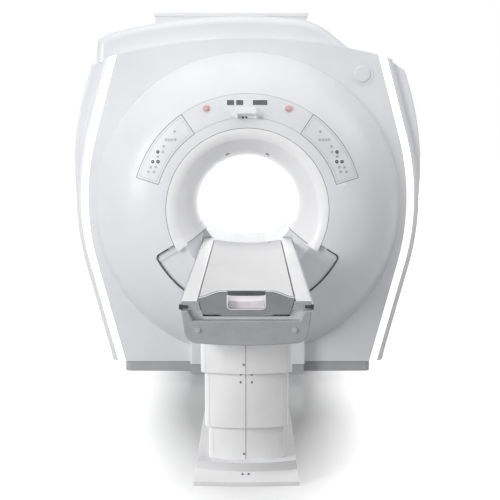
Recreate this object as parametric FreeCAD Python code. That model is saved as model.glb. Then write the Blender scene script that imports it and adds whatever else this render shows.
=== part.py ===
"""Whole-body magnetic resonance scanner with its patient table.

Row frame, millimetres: +X to the right of someone who faces the front, +Y into the
bore, +Z up. The origin is on the floor, under the isocentre, in the middle of the four
anchor holes of the magnet's feet.
"""

import FreeCAD
import Part
import math
import os

V = FreeCAD.Vector
X_AXIS = V(1, 0, 0)
Y_AXIS = V(0, 1, 0)
Z_AXIS = V(0, 0, 1)

# ---------------------------------------------------------------- shared gaps
seam = 0.5  # gap between covers that meet
running_gap = 0.3  # gap between a moving piece and what guides it
pin_gap = 0.05  # radial clearance of a shaft in its bearing hole
far = 4000.0  # past every side of the object

# ---------------------------------------------------------------- gantry stations
bore_height = 1015.0  # isocentre above the floor
bore_radius = 300.0
face_front = -660.0  # plane of the flat front panel
dish_depth = 270.0  # how far the dish stands in front of that panel
skirt_height = 62.0  # underside of the covers above the floor
cover_wall = 8.0
dish_foot = 31.0  # the dish starts this far above the covers' underside
dish_radius = bore_height - skirt_height - dish_foot

# ---------------------------------------------------------------- front outline
dish_border = 119.0  # panel, strip and corner outside the dish, at its widest
barrel_half_width = dish_radius + dish_border
barrel_mid_height = bore_height + 35.0
barrel_arc_radius = 1535.0
barrel_lean = 15.1  # degrees that the straight flanks lean
dish_brow = 79.0  # panel above the dish
face_top = bore_height + dish_radius + dish_brow
face_top_radius = 3170.0
return_width = 33.0  # outer corner band, seen from the front
strip_width = 45.0  # light strip, seen from the front
strip_setback = 20.0  # the strip slopes back by this much
strip_thickness = 12.0
return_depth = 38.0  # how far the front corner reaches back
return_round = 34.0
face_depth = 60.0
light_spacer = 11.0  # thickness of the tray behind the light strip
light_web = 5.0  # web that joins the tray to the front corner

# ---------------------------------------------------------------- dish and flare
ring_radius = 474.0
flare_gap = 2.0  # parting line between the dish and the flare
lip_radius = 412.0
lip_depth = 25.0
lip_lean = 54.0  # degrees, where the lip turns into the funnel
mouth_y = -430.0  # where the straight bore starts
band_inner = 535.0  # control band set into the dish
band_outer = 674.0
band_middle = (band_inner + band_outer) / 2
band_depth = 3.0
band_start = 16.0  # degrees above the horizontal
panel_sweep = 39.4  # degrees that one control panel covers
panel_gap = 2.5
notch_radius = 606.0  # table dock sector
notch_corner = 26.0
notch_slope = 32.2  # degrees, fall of the dock's two straight sides
notch_rise = 58.0  # they pass this far above the bore axis
bead_width = 45.0  # raised edge along the flare's cut ends
bead_height = 5.0
flare_cut_y = -455.0  # the flare is whole behind this plane
wing_setback = 12.0  # the dock moulding lies this far behind the flare
dock_plate_y = -903.0
wing_bar = 5.0  # the raised edge goes on over the wings
pocket_half_width = 275.5  # slot that the table's head end moves in
pocket_back = -609.0
pocket_wall = 6.0
trough_radius = 343.0  # round passage for the bridge behind the slot
passage_gap = 4.0
gasket_width = 8.0
gasket_proud = 3.0
gasket_end = 46.0  # the seal stops this far outside the dish's ring

# ---------------------------------------------------------------- controls on the dish
control_back = 60.0  # how far the holes for the controls reach behind the face
control_front = 20.0
key_spots = [(14.0, 33.0), (-15.5, 28.5), (11.5, 27.1)]  # from the band's middle, degrees
key_radius = 11.0
key_proud = 2.5
key_rim = 1.0
key_cap = 8.0
key_stem_radius = 4.0
key_stem = 8.0
stop_offset = 27.5  # outside the middle of the control band
stop_angle = 68.0  # degrees above the horizontal
stop_radius = 16.0
stop_head = 9.0
stop_rim = 3.5
stop_proud = 14.0
stop_travel = 5.0
stop_stem_radius = 6.0
stop_stem = 30.0
stop_collar = 24.0
stop_collar_proud = 2.0
stop_block = 22.0
stop_block_wall = 3.0
stop_seat_gap = 0.8
window_spans = [(-118.0, 42.0), (-64.5, 41.0), (31.0, 84.0)]  # left edge and width
window_height = 29.0
window_offset = 16.5  # outside the middle of the control band
window_thickness = 2.0
window_depth = 12.0
hood_centre = -3.5
hood_half_width = 55.5
hood_splay = 38.0  # how far its cheeks spread along the dish
hood_splay_rise = 18.0  # height of their outer points
hood_drop = 5.0  # how far it hangs below the control band
hood_height = 62.0
hood_lip = 32.0  # height of its upright front
hood_reach = 40.0
hood_round = 4.0
scoop_radius = 30.0
scoop_half = 40.0
scoop_set = 4.0
scoop_ahead = 2.0
hood_bore_margin = 20.0
lens_radius = 5.0
lens_length = 7.0
lens_proud = 1.2
lens_turn = 20.0  # degrees up the scoop
lens_places = (-25.0, -6.5)
roundel_radius = 68.0
roundel_disc = 46.0
roundel_rim = 2.5
roundel_height = 9.0
roundel_gap = 56.4  # between the roundel's rim and the dish
roundel_turn = 49.1  # degrees above the horizontal

# ---------------------------------------------------------------- dock column and base
dock_half_width = 349.0
dock_front = -747.0
dock_round = 14.0
kick_inset = 291.0
kick_half_width = barrel_half_width - kick_inset
kick_setback = 8.0
kick_wall = 15.0

# ---------------------------------------------------------------- side, roof, turret, rear
side_proud = 9.0  # how far the sides stand out past the front
side_half_width = barrel_half_width + side_proud
side_mid_height = bore_height + 215.0
side_lower_radius = 1900.0
side_upper_radius = 1750.0
side_lower_lean = 12.6
side_upper_lean = 17.5
side_inner = 560.0  # the side covers' top flanges reach in to here
side_drop = 140.0
side_top = face_top - side_drop
side_round = 20.0
right_fall_width = 170.0  # the right cover's top falls away over this width
side_shoulder_right = side_half_width - right_fall_width
side_fall_right = 34.0
left_fall_width = 134.0
side_shoulder_left = side_half_width - left_fall_width
side_fall_left = 40.0
roof_left_inset = 139.0
roof_left = roof_left_inset - barrel_half_width
roof_foot_out = 11.0  # the left wall leans out by this much
roof_foot_left = roof_left - roof_foot_out
roof_left_height = face_top
roof_chamfer = 74.0
roof_crease_x = roof_left + roof_chamfer  # where the left chamfer meets the crown
roof_crown_x = -33.0
roof_rise = 138.0
roof_crown_z = face_top + roof_rise
roof_crown_radius = 3148.0
roof_shoulder_x = 300.0
roof_shoulder_radius = 380.0
roof_slope = 39.0  # degrees, right-hand slope
roof_round = 50.0  # rounded front edge
roof_corner = 22.0
turret_left = -606.0
turret_right = 387.0
turret_front = -40.0
turret_back = 610.0
turret_rise = 62.0
turret_top = roof_crown_z + turret_rise
turret_lid = 21.0
turret_lip = 8.0
turret_root = 100.0  # the turret's walls start this far above the side covers
rear_plane = 840.0
rear_depth = 60.0
rear_ring = 470.0
rear_lip = 26.0

# ---------------------------------------------------------------- magnet and coils
vessel_clearance = 17.0  # round the flange, in the covers' front walls
vessel_flange = dish_radius - vessel_clearance
vessel_flange_height = 25.0
vessel_radius = vessel_flange - vessel_flange_height
vessel_half_length = 600.0
vessel_bore = 455.0
vessel_flange_width = 18.0
gradient_outer = 446.0
gradient_inner = 352.0
gradient_half_length = 570.0
rf_outer = 346.0
rf_wall = 10.0
rf_half_length = 400.0
rf_rungs = 16
rung_width = 22.0
rung_thickness = 5.0
liner_wall = 6.0
support_width = 40.0  # rings that centre each coil in the next
anchor_x = 660.0
anchor_y = 430.0
anchor_hole = 13.0
foot_plate_height = 25.0
foot_inner_x = 500.0
foot_outer_x = 720.0
foot_half_width = 90.0
foot_web_x = 610.0
foot_web_half = 55.0
foot_weld = 5.0  # how far the feet reach into the vessel
cold_head_x = -110.0
cold_head_y = 290.0
cold_head_radius = 85.0
cold_head_sink = 10.0
cold_sleeve_gap = 150.0  # between the sleeve's top and the turret's top
cold_flange_reach = 25.0
cold_flange_height = 18.0
cold_motor_radius = 59.5
cold_motor_height = 90.0

# ---------------------------------------------------------------- cradle and its track
cradle_half_width = 199.0
cradle_edge_z = bore_height - 203.0
cradle_dish = 22.0  # how far the top is hollowed
cradle_flat_z = bore_height - 270.0
cradle_under_radius = bore_radius - 11.0
cradle_front_y = -2880.0
cradle_head_y = -620.0
cradle_head_corner = 60.0
glide_height = 5.0
glide_half = 12.0
glide_x = 85.0
glide_start = 40.0  # behind the tub's front
rail_inner = 205.0
rail_top = cradle_edge_z - 4.0
rail_depth = 36.0
rail_round = 5.0
deck_end_y = -500.0  # where the fixed rails stop in the bore mouth
deck_gap = 3.0  # between the deck and the cradle's underside
bridge_radius = bore_radius - 0.5
bridge_back = 428.0

# ---------------------------------------------------------------- table top
table_half_width = 270.0
table_front = -2894.0
table_back = -614.0
bridge_gap = 0.8
neck_y = -955.0  # the table is shallow between here and its head end
neck_ramp = 130.0
neck_bottom = cradle_flat_z - 45.0
tub_front = -2878.0
tub_bottom = cradle_flat_z - 111.0
tub_top = rail_top - 37.0
tub_waist = 258.0
tub_waist_z = tub_bottom + 46.0
tub_corner = 58.0
tub_wall = 6.0
beam_inner = 66.0
beam_outer = 106.0
beam_wall = 5.0
member_stations = (560.0, 1171.5)  # cross members, from the frame's front
neck_member_gap = 60.0
bearing_margin = 8.0
ledge_gap = 2.0
foot_plate_thickness = 14.0
foot_plate_top = 202.0
foot_plate_bottom = 180.0
foot_plate_low = cradle_flat_z + 7.0
foot_plate_gap = 3.0  # beside its slanted edges
foot_plate_side_z = cradle_edge_z + 13.0
foot_plate_crest = 100.0
foot_plate_high = cradle_edge_z + 39.0
wave_low = 40.0  # handles of the wavy top edge
wave_high = 45.0
wave_lift = 2.0
grip_half_width = 78.0
grip_low = cradle_flat_z + 30.0
grip_bar = 15.0
grip_corner = 16.0
grip_side_gap = 3.0
lever_thickness = 6.0
lever_high = grip_low + 47.0
lever_pocket = 34.0
lever_pin = 3.0
lever_barrel_wall = 3.0
pin_bearing = 12.0  # how far the pin's holes reach beside the grip
pocket_side = 4.0
pocket_floor = 6.0
bumper_thickness = 24.0
bumper_gap = 2.0
bumper_round = 6.0
bumper_sag = 8.0  # its lower edge bows down by this much
bumper_shelf = 242.0
bumper_dip = tub_top - 42.0
bumper_dip_x = 220.0
knob_radius = 11.0
knob_x = 200.0
knob_z = bumper_dip - 37.0
knob_height = 6.0
knob_round = 2.0
rail_strip_x = 279.0
rail_strip_low = tub_top + 4.0
rail_strip_high = rail_strip_low + 20.0
rail_strip_back = -1000.0
plug_inner = 243.0
plug_depth = 6.0
strip_groove_depth = 4.0
strip_groove_margin = 6.0

# ---------------------------------------------------------------- cradle drive
pulley_radius = 24.0
pulley_width = 30.0
pulley_z = tub_bottom + 54.0
pulley_front_y = -2780.0
pulley_back_y = -1200.0
pulley_shaft = 6.0
belt_thickness = 2.0
clamp_y = -2735.0
clamp_half = 30.0
pulley_cheek = 4.0
pulley_cheek_width = 2.0
motor_radius = 34.0
motor_length = 95.0

# ---------------------------------------------------------------- pedestal
lift_travel = 220.0
pedestal_front = -2815.0  # upper cover, at its middle
pedestal_back = -1915.0
pedestal_bow_depth = 40.0  # how far the fascias bow forward
tier_half_width = 195.0
tier_step = 15.5  # each tier is narrower by this much
tier_wall = 4.0
tier_corner = 24.0
fascia_border = 20.0  # seam lines near the front corners
groove_width = 1.6
guide_half = 20.0
guide_drop = 5.0
upper_low = 482.0
middle_low = 242.0
middle_high = 500.0
lower_high = 272.0
ledge_z = 97.0
ledge_low = 53.0
ledge_setback = 16.0  # the ledge's front edge lies this far behind the toe
ledge_undercut = 36.0
ledge_inset = 14.0
toe_half_width = 226.0
toe_front = -2842.0
toe_height = 17.0
toe_bow_depth = 10.0
toe_groove = 3.0
toe_back = 25.0
knee_back = 8.0
brow_back = 4.0
fairing_seat = 10.0
base_plate_height = 15.0
base_hole = 7.0
base_hole_x = 150.0
base_hole_y = 385.0
base_border = 25.0
base_end = 40.0  # plate beyond the anchor holes
column_size = 100.0
column_wall = 6.0
column_high = 350.0
column_low_inner = base_plate_height + lift_travel + 55.0
column_spread = 250.0
actuator_radius = 34.0
actuator_high = 330.0
actuator_foot = 40.0
actuator_foot_half = 60.0
gearbox_half = 32.0
gearbox_near = 40.0
gearbox_far = 140.0
gearbox_rise = 30.0
nut_seat = 5.0
screw_seat = 15.0
screw_radius = 10.0
screw_high = 378.0
nut_radius = 24.0
nut_low = base_plate_height + actuator_foot + lift_travel + 30.0
head_plate = 12.0
head_half = 120.0

parts = {}


# ================================================================ small helpers
def box(x0, x1, y0, y1, z0, z1):
    """Block between two corners."""
    return Part.makeBox(x1 - x0, y1 - y0, z1 - z0, V(x0, y0, z0))


def rod(x, y, z, radius, length, axis):
    """Round bar that starts at a point and runs along an axis."""
    return Part.makeCylinder(radius, length, V(x, y, z), axis)


def mirrored(shape):
    """Copy on the other side of the plane X = 0."""
    return shape.mirror(V(0, 0, 0), X_AXIS)


def pair(shape):
    """A shape and its mirror copy, as two solids."""
    return Part.makeCompound([shape, mirrored(shape)])


def plate_xz(edges, y0, y1):
    """Solid from a closed outline in the XZ plane, from y0 to y1."""
    wire = Part.Wire(Part.__sortEdges__(edges))
    face = Part.Face(wire)
    return face.extrude(V(0, y1 - y0, 0))


def polygon_xz(points, y0, y1):
    """Solid from a polygon of (x, z) points, from y0 to y1."""
    corners = [V(x, y0, z) for x, z in points]
    face = Part.Face(Part.makePolygon(corners + corners[:1]))
    return face.extrude(V(0, y1 - y0, 0))


def arc(a, b, c):
    """Circular edge through three points."""
    return Part.Arc(a, b, c).toShape()


def spun(edges, angle=360.0, start=0.0):
    """Solid of revolution about the bore axis.

    The outline is drawn with x as radius and y along the bore. The angle is counted
    from +X towards +Z.
    """
    face = Part.Face(Part.Wire(Part.__sortEdges__(edges)))
    centre = V(0, 0, bore_height)
    face.translate(centre)
    face.rotate(centre, Y_AXIS, -start)
    return face.revolve(centre, V(0, -1, 0), angle)


def outline(points):
    """Straight edges round a list of (radius, y) points, for spun()."""
    corners = [V(r, y, 0) for r, y in points]
    closed = corners + corners[:1]
    return [Part.LineSegment(a, b).toShape() for a, b in zip(closed, closed[1:])]


def bow(start, end, radius, side):
    """Middle point of an arc between two (r, y) points. side is 1 or -1."""
    mx, my = (start[0] + end[0]) / 2, (start[1] + end[1]) / 2
    dx, dy = end[0] - start[0], end[1] - start[1]
    chord = math.hypot(dx, dy)
    rise = radius - math.sqrt(radius**2 - chord**2 / 4)
    return V(mx - side * dy / chord * rise, my + side * dx / chord * rise, 0)


def polar(radius, degrees):
    """x and z of a point at an angle above +X about the bore axis."""
    turn = math.radians(degrees)
    return radius * math.cos(turn), bore_height + radius * math.sin(turn)


# ================================================================ barrel outline
def flank(section, half_width, mid_height, lower_radius, upper_radius, lean, top_lean):
    """Right-hand band that follows the barrel outline.

    section is a list of (inset, y) points. The band runs straight up and outwards,
    round the belly in two arcs that share a vertical tangent, and straight up inwards.
    """
    low = V(half_width - lower_radius, 0, mid_height)
    high = V(half_width - upper_radius, 0, mid_height)

    def cross(centre, radius, turn):
        points = [
            V(
                centre.x + (radius - inset) * math.cos(turn),
                y,
                centre.z + (radius - inset) * math.sin(turn),
            )
            for inset, y in section
        ]
        return Part.Face(Part.makePolygon(points + points[:1]))

    low_turn, high_turn = math.radians(lean), math.radians(top_lean)
    start = cross(low, lower_radius, -low_turn)
    middle = cross(high, upper_radius, 0.0)
    end = cross(high, upper_radius, high_turn)
    reach = lower_radius
    below = start.extrude(V(-math.sin(low_turn), 0, -math.cos(low_turn)) * reach)
    belly = start.revolve(low, V(0, -1, 0), lean)
    shoulder = middle.revolve(high, V(0, -1, 0), top_lean)
    above = end.extrude(V(-math.sin(high_turn), 0, math.cos(high_turn)) * reach)
    return below.fuse([belly, shoulder, above]).removeSplitter()


def front_flank(section):
    """Band along the front outline, trimmed at the floor gap and the top arc."""
    band = flank(
        section,
        barrel_half_width,
        barrel_mid_height,
        barrel_arc_radius,
        barrel_arc_radius,
        barrel_lean,
        barrel_lean,
    )
    return trim_front(band, 0.0)


def trim_front(shape, margin):
    """Keeps what lies above the skirt line and under the front's top arc."""
    ys = shape.BoundBox
    keep = rod(
        0,
        ys.YMin - 1,
        face_top - face_top_radius,
        face_top_radius - margin,
        ys.YLength + 2,
        Y_AXIS,
    )
    above = box(
        -2 * barrel_half_width,
        2 * barrel_half_width,
        ys.YMin - 1,
        ys.YMax + 1,
        skirt_height + margin,
        2 * face_top,
    )
    return shape.common(keep).common(above)


def front_block(inset, margin, y0, y1):
    """Solid slab inside the front outline.

    inset is taken off both flanks, and margin off the top arc and the skirt line.
    """
    turn = math.radians(barrel_lean)
    centre = V(barrel_half_width - barrel_arc_radius, y0, barrel_mid_height)
    radius = barrel_arc_radius - inset
    reach = barrel_arc_radius

    def at(angle):
        return centre + V(math.cos(angle), 0, math.sin(angle)) * radius

    down = V(-math.sin(turn), 0, -math.cos(turn)) * reach
    up = V(-math.sin(turn), 0, math.cos(turn)) * reach
    right = [at(-turn) + down, at(-turn), at(0), at(turn), at(turn) + up]
    left = [V(-p.x, p.y, p.z) for p in right]
    edges = [
        Part.LineSegment(right[0], right[1]).toShape(),
        arc(right[1], right[2], right[3]),
        Part.LineSegment(right[3], right[4]).toShape(),
        Part.LineSegment(right[4], left[4]).toShape(),
        Part.LineSegment(left[4], left[3]).toShape(),
        arc(left[3], left[2], left[1]),
        Part.LineSegment(left[1], left[0]).toShape(),
        Part.LineSegment(left[0], right[0]).toShape(),
    ]
    return trim_front(plate_xz(edges, y0, y1), margin)


# ================================================================ dish curve
ring_front = face_front - dish_depth
dish_curve = (dish_depth**2 + (dish_radius - ring_radius) ** 2) / (2 * dish_depth)
dish_centre_y = ring_front + dish_curve


def dish_edges(outer_r, outer_drop, inner_drop, r_start, r_end):
    """Outline between two curves parallel to the dish's face.

    The drops are measured inwards from the face. r_start and r_end are radii from the
    bore axis, and outer_r is where the dish would end.
    """

    def at(radius, drop):
        reach = dish_curve - drop
        side = min(radius - ring_radius, reach * math.sin(math.radians(80)))
        return V(radius, dish_centre_y - math.sqrt(reach**2 - side**2), 0)

    r_end = min(r_end, outer_r)
    middle = (r_start + r_end) / 2
    a, b, c = (at(r, outer_drop) for r in (r_start, middle, r_end))
    d, e, f = (at(r, inner_drop) for r in (r_end, middle, r_start))
    return [
        arc(a, b, c),
        Part.LineSegment(c, d).toShape(),
        arc(d, e, f),
        Part.LineSegment(f, a).toShape(),
    ]


def dish_face_y(radius, drop=0.0):
    """y of the dish's face, or of a curve under it, at a radius."""
    reach = dish_curve - drop
    return dish_centre_y - math.sqrt(reach**2 - (radius - ring_radius) ** 2)


def dish_tilt(radius):
    """Angle in degrees between the dish's face and the front panel."""
    return math.degrees(math.asin((radius - ring_radius) / dish_curve))


def under_sides(drop, y0, y1):
    """Space under the dock's two straight sides, moved down by drop."""
    turn = math.radians(notch_slope)
    peak = bore_height + (notch_rise - drop) / math.cos(turn)
    foot = peak - far * math.tan(turn)
    return polygon_xz([(0, peak), (far, foot), (far, -far), (-far, -far), (-far, foot)], y0, y1)


def dock_sector(drop, radius, corner, y0, y1):
    """Rounded sector under the bore: two straight sides and a big arc."""
    slab = under_sides(drop, y0, y1).common(rod(0, y0, bore_height, radius, y1 - y0, Y_AXIS))
    rims = []
    for edge in slab.Edges:
        ends = [v.Point for v in edge.Vertexes]
        if len(ends) != 2 or abs(ends[0].y - ends[1].y) < 1e-6:
            continue
        reach = math.hypot(ends[0].x, ends[0].z - bore_height)
        if abs(reach - radius) < 1e-3 and abs(ends[0].x) > 1:
            rims.append(edge)
    return slab.makeFillet(corner, rims)


# ================================================================ front of the gantry
def make_dish():
    """Large round cover: shallow dome, control band recess and dock notch."""
    back_r = dish_radius - seam
    shell = spun(
        dish_edges(back_r, 0, cover_wall, ring_radius + flare_gap / 2, back_r)
    )
    band = spun(
        dish_edges(band_outer, -cover_wall, band_depth, band_inner, band_outer),
        180 - 2 * band_start,
        band_start,
    )
    notch = dock_sector(0, notch_radius, notch_corner, ring_front - 1, face_front)
    column = dock_envelope(seam)
    dish = shell.cut([band, notch, column])
    holes = [stop_bore(side, stop_radius + stop_block_wall + 1) for side in (1, -1)]
    holes += [key_bore(x, z, key_radius + 1) for x, z in key_places()]
    holes.append(laser_bore())
    return dish.cut(holes)


def dock_envelope(gap):
    """Space that the dock column takes out of the dish's lower edge."""
    width = dock_half_width + gap
    return box(-width, width, dock_front - gap, 0, 0, bore_height - notch_radius)


def make_face_panel():
    """Flat front panel: a pan with return flanges and the dish opening."""
    inset = return_width + strip_width + 2 * seam
    back = face_front + face_depth
    pan = front_block(inset, 0, face_front, back)
    core = front_block(inset + cover_wall, cover_wall, face_front + cover_wall, back + 1)
    pan = pan.cut(core)
    hole = rod(0, face_front - 1, bore_height, dish_radius, face_depth + 2, Y_AXIS)
    column = box(
        -dock_half_width - seam,
        dock_half_width + seam,
        face_front - 1,
        face_front + face_depth + 1,
        0,
        bore_height - notch_radius,
    )
    return pan.cut([hole, column])


def make_light_strip():
    """Right-hand light diffuser: a sloping band beside the front panel."""
    inner = return_width + strip_width
    outer = return_width + seam
    y_in, y_out = face_front + 2, face_front + 2 + strip_setback
    section = [
        (inner, y_in),
        (outer, y_out),
        (outer, y_out + strip_thickness),
        (inner, y_in + strip_thickness),
    ]
    return front_flank(section)


def light_tray():
    """Flange of the front corner that the light strip lies on."""
    inner = return_width + strip_width
    web = return_width - light_web
    y_in = face_front + 2 + strip_thickness + seam
    y_out = y_in + strip_setback
    y_web = y_out - strip_thickness
    section = [
        (inner, y_in),
        (return_width, y_out),
        (return_width, y_web),
        (web, y_web),
        (web, y_out + light_spacer),
        (inner, y_in + light_spacer + strip_setback),
    ]
    return front_flank(section)


def make_front_corner():
    """Right-hand outer corner of the front: a rounded band that turns back."""
    y_front = face_front + 2 + strip_setback
    y_back = y_front + return_depth
    steps = 8
    section = [(return_width, y_front)]
    for n in range(steps + 1):
        turn = math.radians(90.0 * n / steps)
        inset = return_round * (1 - math.sin(turn))
        section.append((inset * return_width / return_round, y_front + return_round * (1 - math.cos(turn))))
    section += [(0, y_back), (cover_wall, y_back)]
    for n in range(steps, -1, -1):
        turn = math.radians(90.0 * n / steps)
        reach = return_round - cover_wall
        inset = cover_wall + reach * (1 - math.sin(turn)) * (return_width - cover_wall) / reach
        section.append((inset, y_front + cover_wall + reach * (1 - math.cos(turn))))
    cleaned = [section[0]]
    for point in section[1:]:
        if math.dist(point, cleaned[-1]) > 1e-6:
            cleaned.append(point)
    return front_flank(cleaned).fuse(light_tray()).removeSplitter()


def flare_curve(offset):
    """Visible curve of the bore flare, moved outwards by offset.

    Returns the edges from the ring to the mouth and the two end points.
    """
    crease_lean = math.radians(lip_lean)
    ring = (ring_radius - flare_gap / 2, ring_front + offset)
    crease = (
        lip_radius + offset * math.sin(crease_lean),
        ring_front + lip_depth + offset * math.cos(crease_lean),
    )
    mouth = (bore_radius + offset, mouth_y)
    lip_run, lip_fall = ring[0] - crease[0], crease[1] - ring[1]
    lip_r = (lip_run**2 + lip_fall**2) / (2 * lip_fall)
    run, fall = crease[0] - mouth[0], mouth[1] - crease[1]
    funnel_r = (run**2 + fall**2) / (2 * run)
    edges = [
        arc(V(*ring, 0), bow(ring, crease, lip_r, 1), V(*crease, 0)),
        arc(V(*crease, 0), bow(crease, mouth, funnel_r, 1), V(*mouth, 0)),
    ]
    return edges, V(*ring, 0), V(*mouth, 0)


def flare_band(front_offset, back_offset):
    """Closed outline of the flare's wall."""
    front, ring_a, mouth_a = flare_curve(front_offset)
    back, ring_b, mouth_b = flare_curve(back_offset)
    return front + back + [
        Part.LineSegment(ring_a, ring_b).toShape(),
        Part.LineSegment(mouth_a, mouth_b).toShape(),
    ]


def raised_edge(gap, y0, y1):
    """Two straight strips along the dock's sides, with a gap below them."""
    return under_sides(0, y0, y1).cut(under_sides(bead_width + gap, y0 - 1, y1 + 1))


def make_front_flare():
    """Funnel from the dish's ring to the bore, open towards the table dock."""
    funnel = spun(flare_band(0, cover_wall)).cut(under_sides(0, -far, flare_cut_y))
    bead = spun(flare_band(-bead_height, cover_wall)).common(raised_edge(0, -far, flare_cut_y))
    return funnel.fuse(bead.Solids).removeSplitter()


def funnel_radius(y, offset):
    """Radius of the funnel at a station, moved outwards by offset."""
    lip_y = ring_front + lip_depth
    run, fall = lip_radius - bore_radius, mouth_y - lip_y
    bend = (run**2 + fall**2) / (2 * run)
    return bore_radius + bend - math.sqrt((bend - offset) ** 2 - (mouth_y - y) ** 2)


def dock_block(skin, outer_r, front_y, back_y, end_y, end_r):
    """Sector behind the flare's line: flat plate outside, funnel inside.

    skin moves the front surface back. The block is outer_r wide down to back_y and
    end_r wide from there to end_y.
    """
    offset = wing_setback + skin
    y_mid = (front_y + end_y) / 2
    a, b, c = (V(funnel_radius(y, offset), y, 0) for y in (front_y, y_mid, end_y))
    rest = [c, V(end_r, end_y, 0), V(end_r, back_y, 0), V(outer_r, back_y, 0), V(outer_r, front_y, 0), a]
    edges = [arc(a, b, c)] + [Part.LineSegment(p, q).toShape() for p, q in zip(rest, rest[1:])]
    start = notch_slope - math.degrees(math.asin(notch_rise / bore_radius)) - 1
    return spun(edges, 180 - 2 * start, 180 + start)


def make_dock_plate():
    """Moulding behind the table's head end: two wings beside a deep slot."""
    plate_r = notch_radius - gasket_width - 2 * seam
    slot_end = pocket_back + pocket_wall
    end_y = flare_cut_y - pocket_wall - seam
    block = dock_block(0, plate_r, dock_plate_y, slot_end, end_y, trough_radius + pocket_wall)
    front = dock_plate_y - wing_bar
    corner = dock_sector(
        gasket_width + 2 * seam, plate_r, notch_corner - gasket_width / 2, front, end_y + 1
    )
    inner_r = ring_radius + gasket_end - seam
    inner = rod(0, front, bore_height, inner_r, end_y + 1 - front, Y_AXIS)
    corner = corner.fuse(under_sides(seam, front, end_y + 1).common(inner))
    block = block.common(corner)
    bars = raised_edge(0, front, dock_plate_y + 1).common(corner)
    reach = wing_bar + cover_wall + 2
    clear = rod(0, front - 1, bore_height, ring_radius + flare_gap, reach, Y_AXIS)
    block = block.fuse(bars.cut(clear).Solids)
    clear = clear.common(raised_edge(2 * seam, front - 1, front + reach))
    slot = box(-pocket_half_width, pocket_half_width, dock_plate_y - 1, pocket_back, 0, bore_height)
    slot = slot.common(rod(0, dock_plate_y - 1, bore_height, plate_r - cover_wall, far, Y_AXIS))
    trough = box(
        -pocket_half_width, pocket_half_width, pocket_back - 1, end_y - pocket_wall, 0, bore_height
    )
    trough = trough.common(rod(0, pocket_back - 1, bore_height, trough_radius, far, Y_AXIS))
    passage_y, passage_radius = end_y - pocket_wall - 1, bore_radius + passage_gap
    passage = rod(0, passage_y, bore_height, passage_radius, pocket_wall + 2, Y_AXIS)
    hollow = dock_block(
        cover_wall,
        plate_r - cover_wall,
        dock_plate_y + cover_wall,
        slot_end + 1,
        end_y - pocket_wall,
        trough_radius + 2 * pocket_wall,
    )
    cheek = pocket_half_width + pocket_wall
    hollow = hollow.cut(box(-cheek, cheek, dock_plate_y - 1, 0, 0, 2 * bore_height))
    return block.cut([slot, trough, passage, hollow, clear])


def make_gasket():
    """Rubber seal between the dish's notch and the dock plate."""
    front = dish_face_y(notch_radius) - gasket_proud
    back = dock_plate_y + cover_wall
    outer = dock_sector(seam, notch_radius - seam, notch_corner - seam, front, back)
    inner = dock_sector(
        seam + gasket_width,
        notch_radius - seam - gasket_width,
        notch_corner - gasket_width / 2,
        front - 1,
        back + 1,
    )
    clear_ring = rod(0, front - 1, bore_height, ring_radius + gasket_end, back - front + 2, Y_AXIS)
    return outer.cut([inner, clear_ring])


def panel_blank(start, sweep, drop):
    """Curved plate that lies in the control band."""
    return spun(
        dish_edges(
            band_outer - panel_gap,
            drop,
            band_depth - seam / 2,
            band_inner + panel_gap,
            band_outer - panel_gap,
        ),
        sweep,
        start,
    )


def key_places():
    """Centres of the round keys on both control panels."""
    right = [polar(band_middle + offset, turn) for offset, turn in key_spots]
    return right + [(-x, z) for x, z in right]


def key_axis(x, z):
    """Outward direction of the dish's face at a point, and its place on the face."""
    radius = math.hypot(x, z - bore_height)
    lean = math.radians(dish_tilt(radius))
    out = V(x / radius * math.sin(lean), -math.cos(lean), (z - bore_height) / radius * math.sin(lean))
    return out, V(x, dish_face_y(radius), z)


def control_bore(out, place, radius):
    """Round hole through the face along a control's axis."""
    return Part.makeCylinder(radius, control_back + control_front, place - out * control_back, out)


def key_bore(x, z, radius):
    """Hole through the dish and panel for a key."""
    out, place = key_axis(x, z)
    return control_bore(out, place, radius)


def rounded_cap(radius, height, rim, base, out):
    """Round cap with a rounded outer rim, from a base point along an axis."""
    cap = Part.makeCylinder(radius, height, base, out)
    top = base + out * height
    rims = [e for e in cap.Edges if e.Closed and e.CenterOfMass.distanceToPoint(top) < seam / 4]
    return cap.makeFillet(rim, rims)


def make_key(x, z):
    """Round key with a stem behind its panel."""
    out, place = key_axis(x, z)
    base = place - out * (key_cap - key_proud)
    stem = Part.makeCylinder(key_stem_radius, key_stem, base - out * key_stem, out)
    return rounded_cap(key_radius, key_cap, key_rim, base, out).fuse(stem).removeSplitter()


def stop_place(side):
    """Outward direction and place of a stop button on the display band."""
    x, z = polar(band_middle + stop_offset, stop_angle)
    return key_axis(side * x, z)


def stop_bore(side, radius):
    """Hole for a stop button."""
    out, place = stop_place(side)
    return control_bore(out, place, radius)


def make_stop_button(side):
    """Mushroom button on a stem."""
    out, place = stop_place(side)
    base = place + out * (stop_proud - stop_head)
    stem = Part.makeCylinder(stop_stem_radius, stop_stem, base - out * (stop_stem - 1), out)
    return rounded_cap(stop_radius, stop_head, stop_rim, base, out).fuse(stem).removeSplitter()


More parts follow.
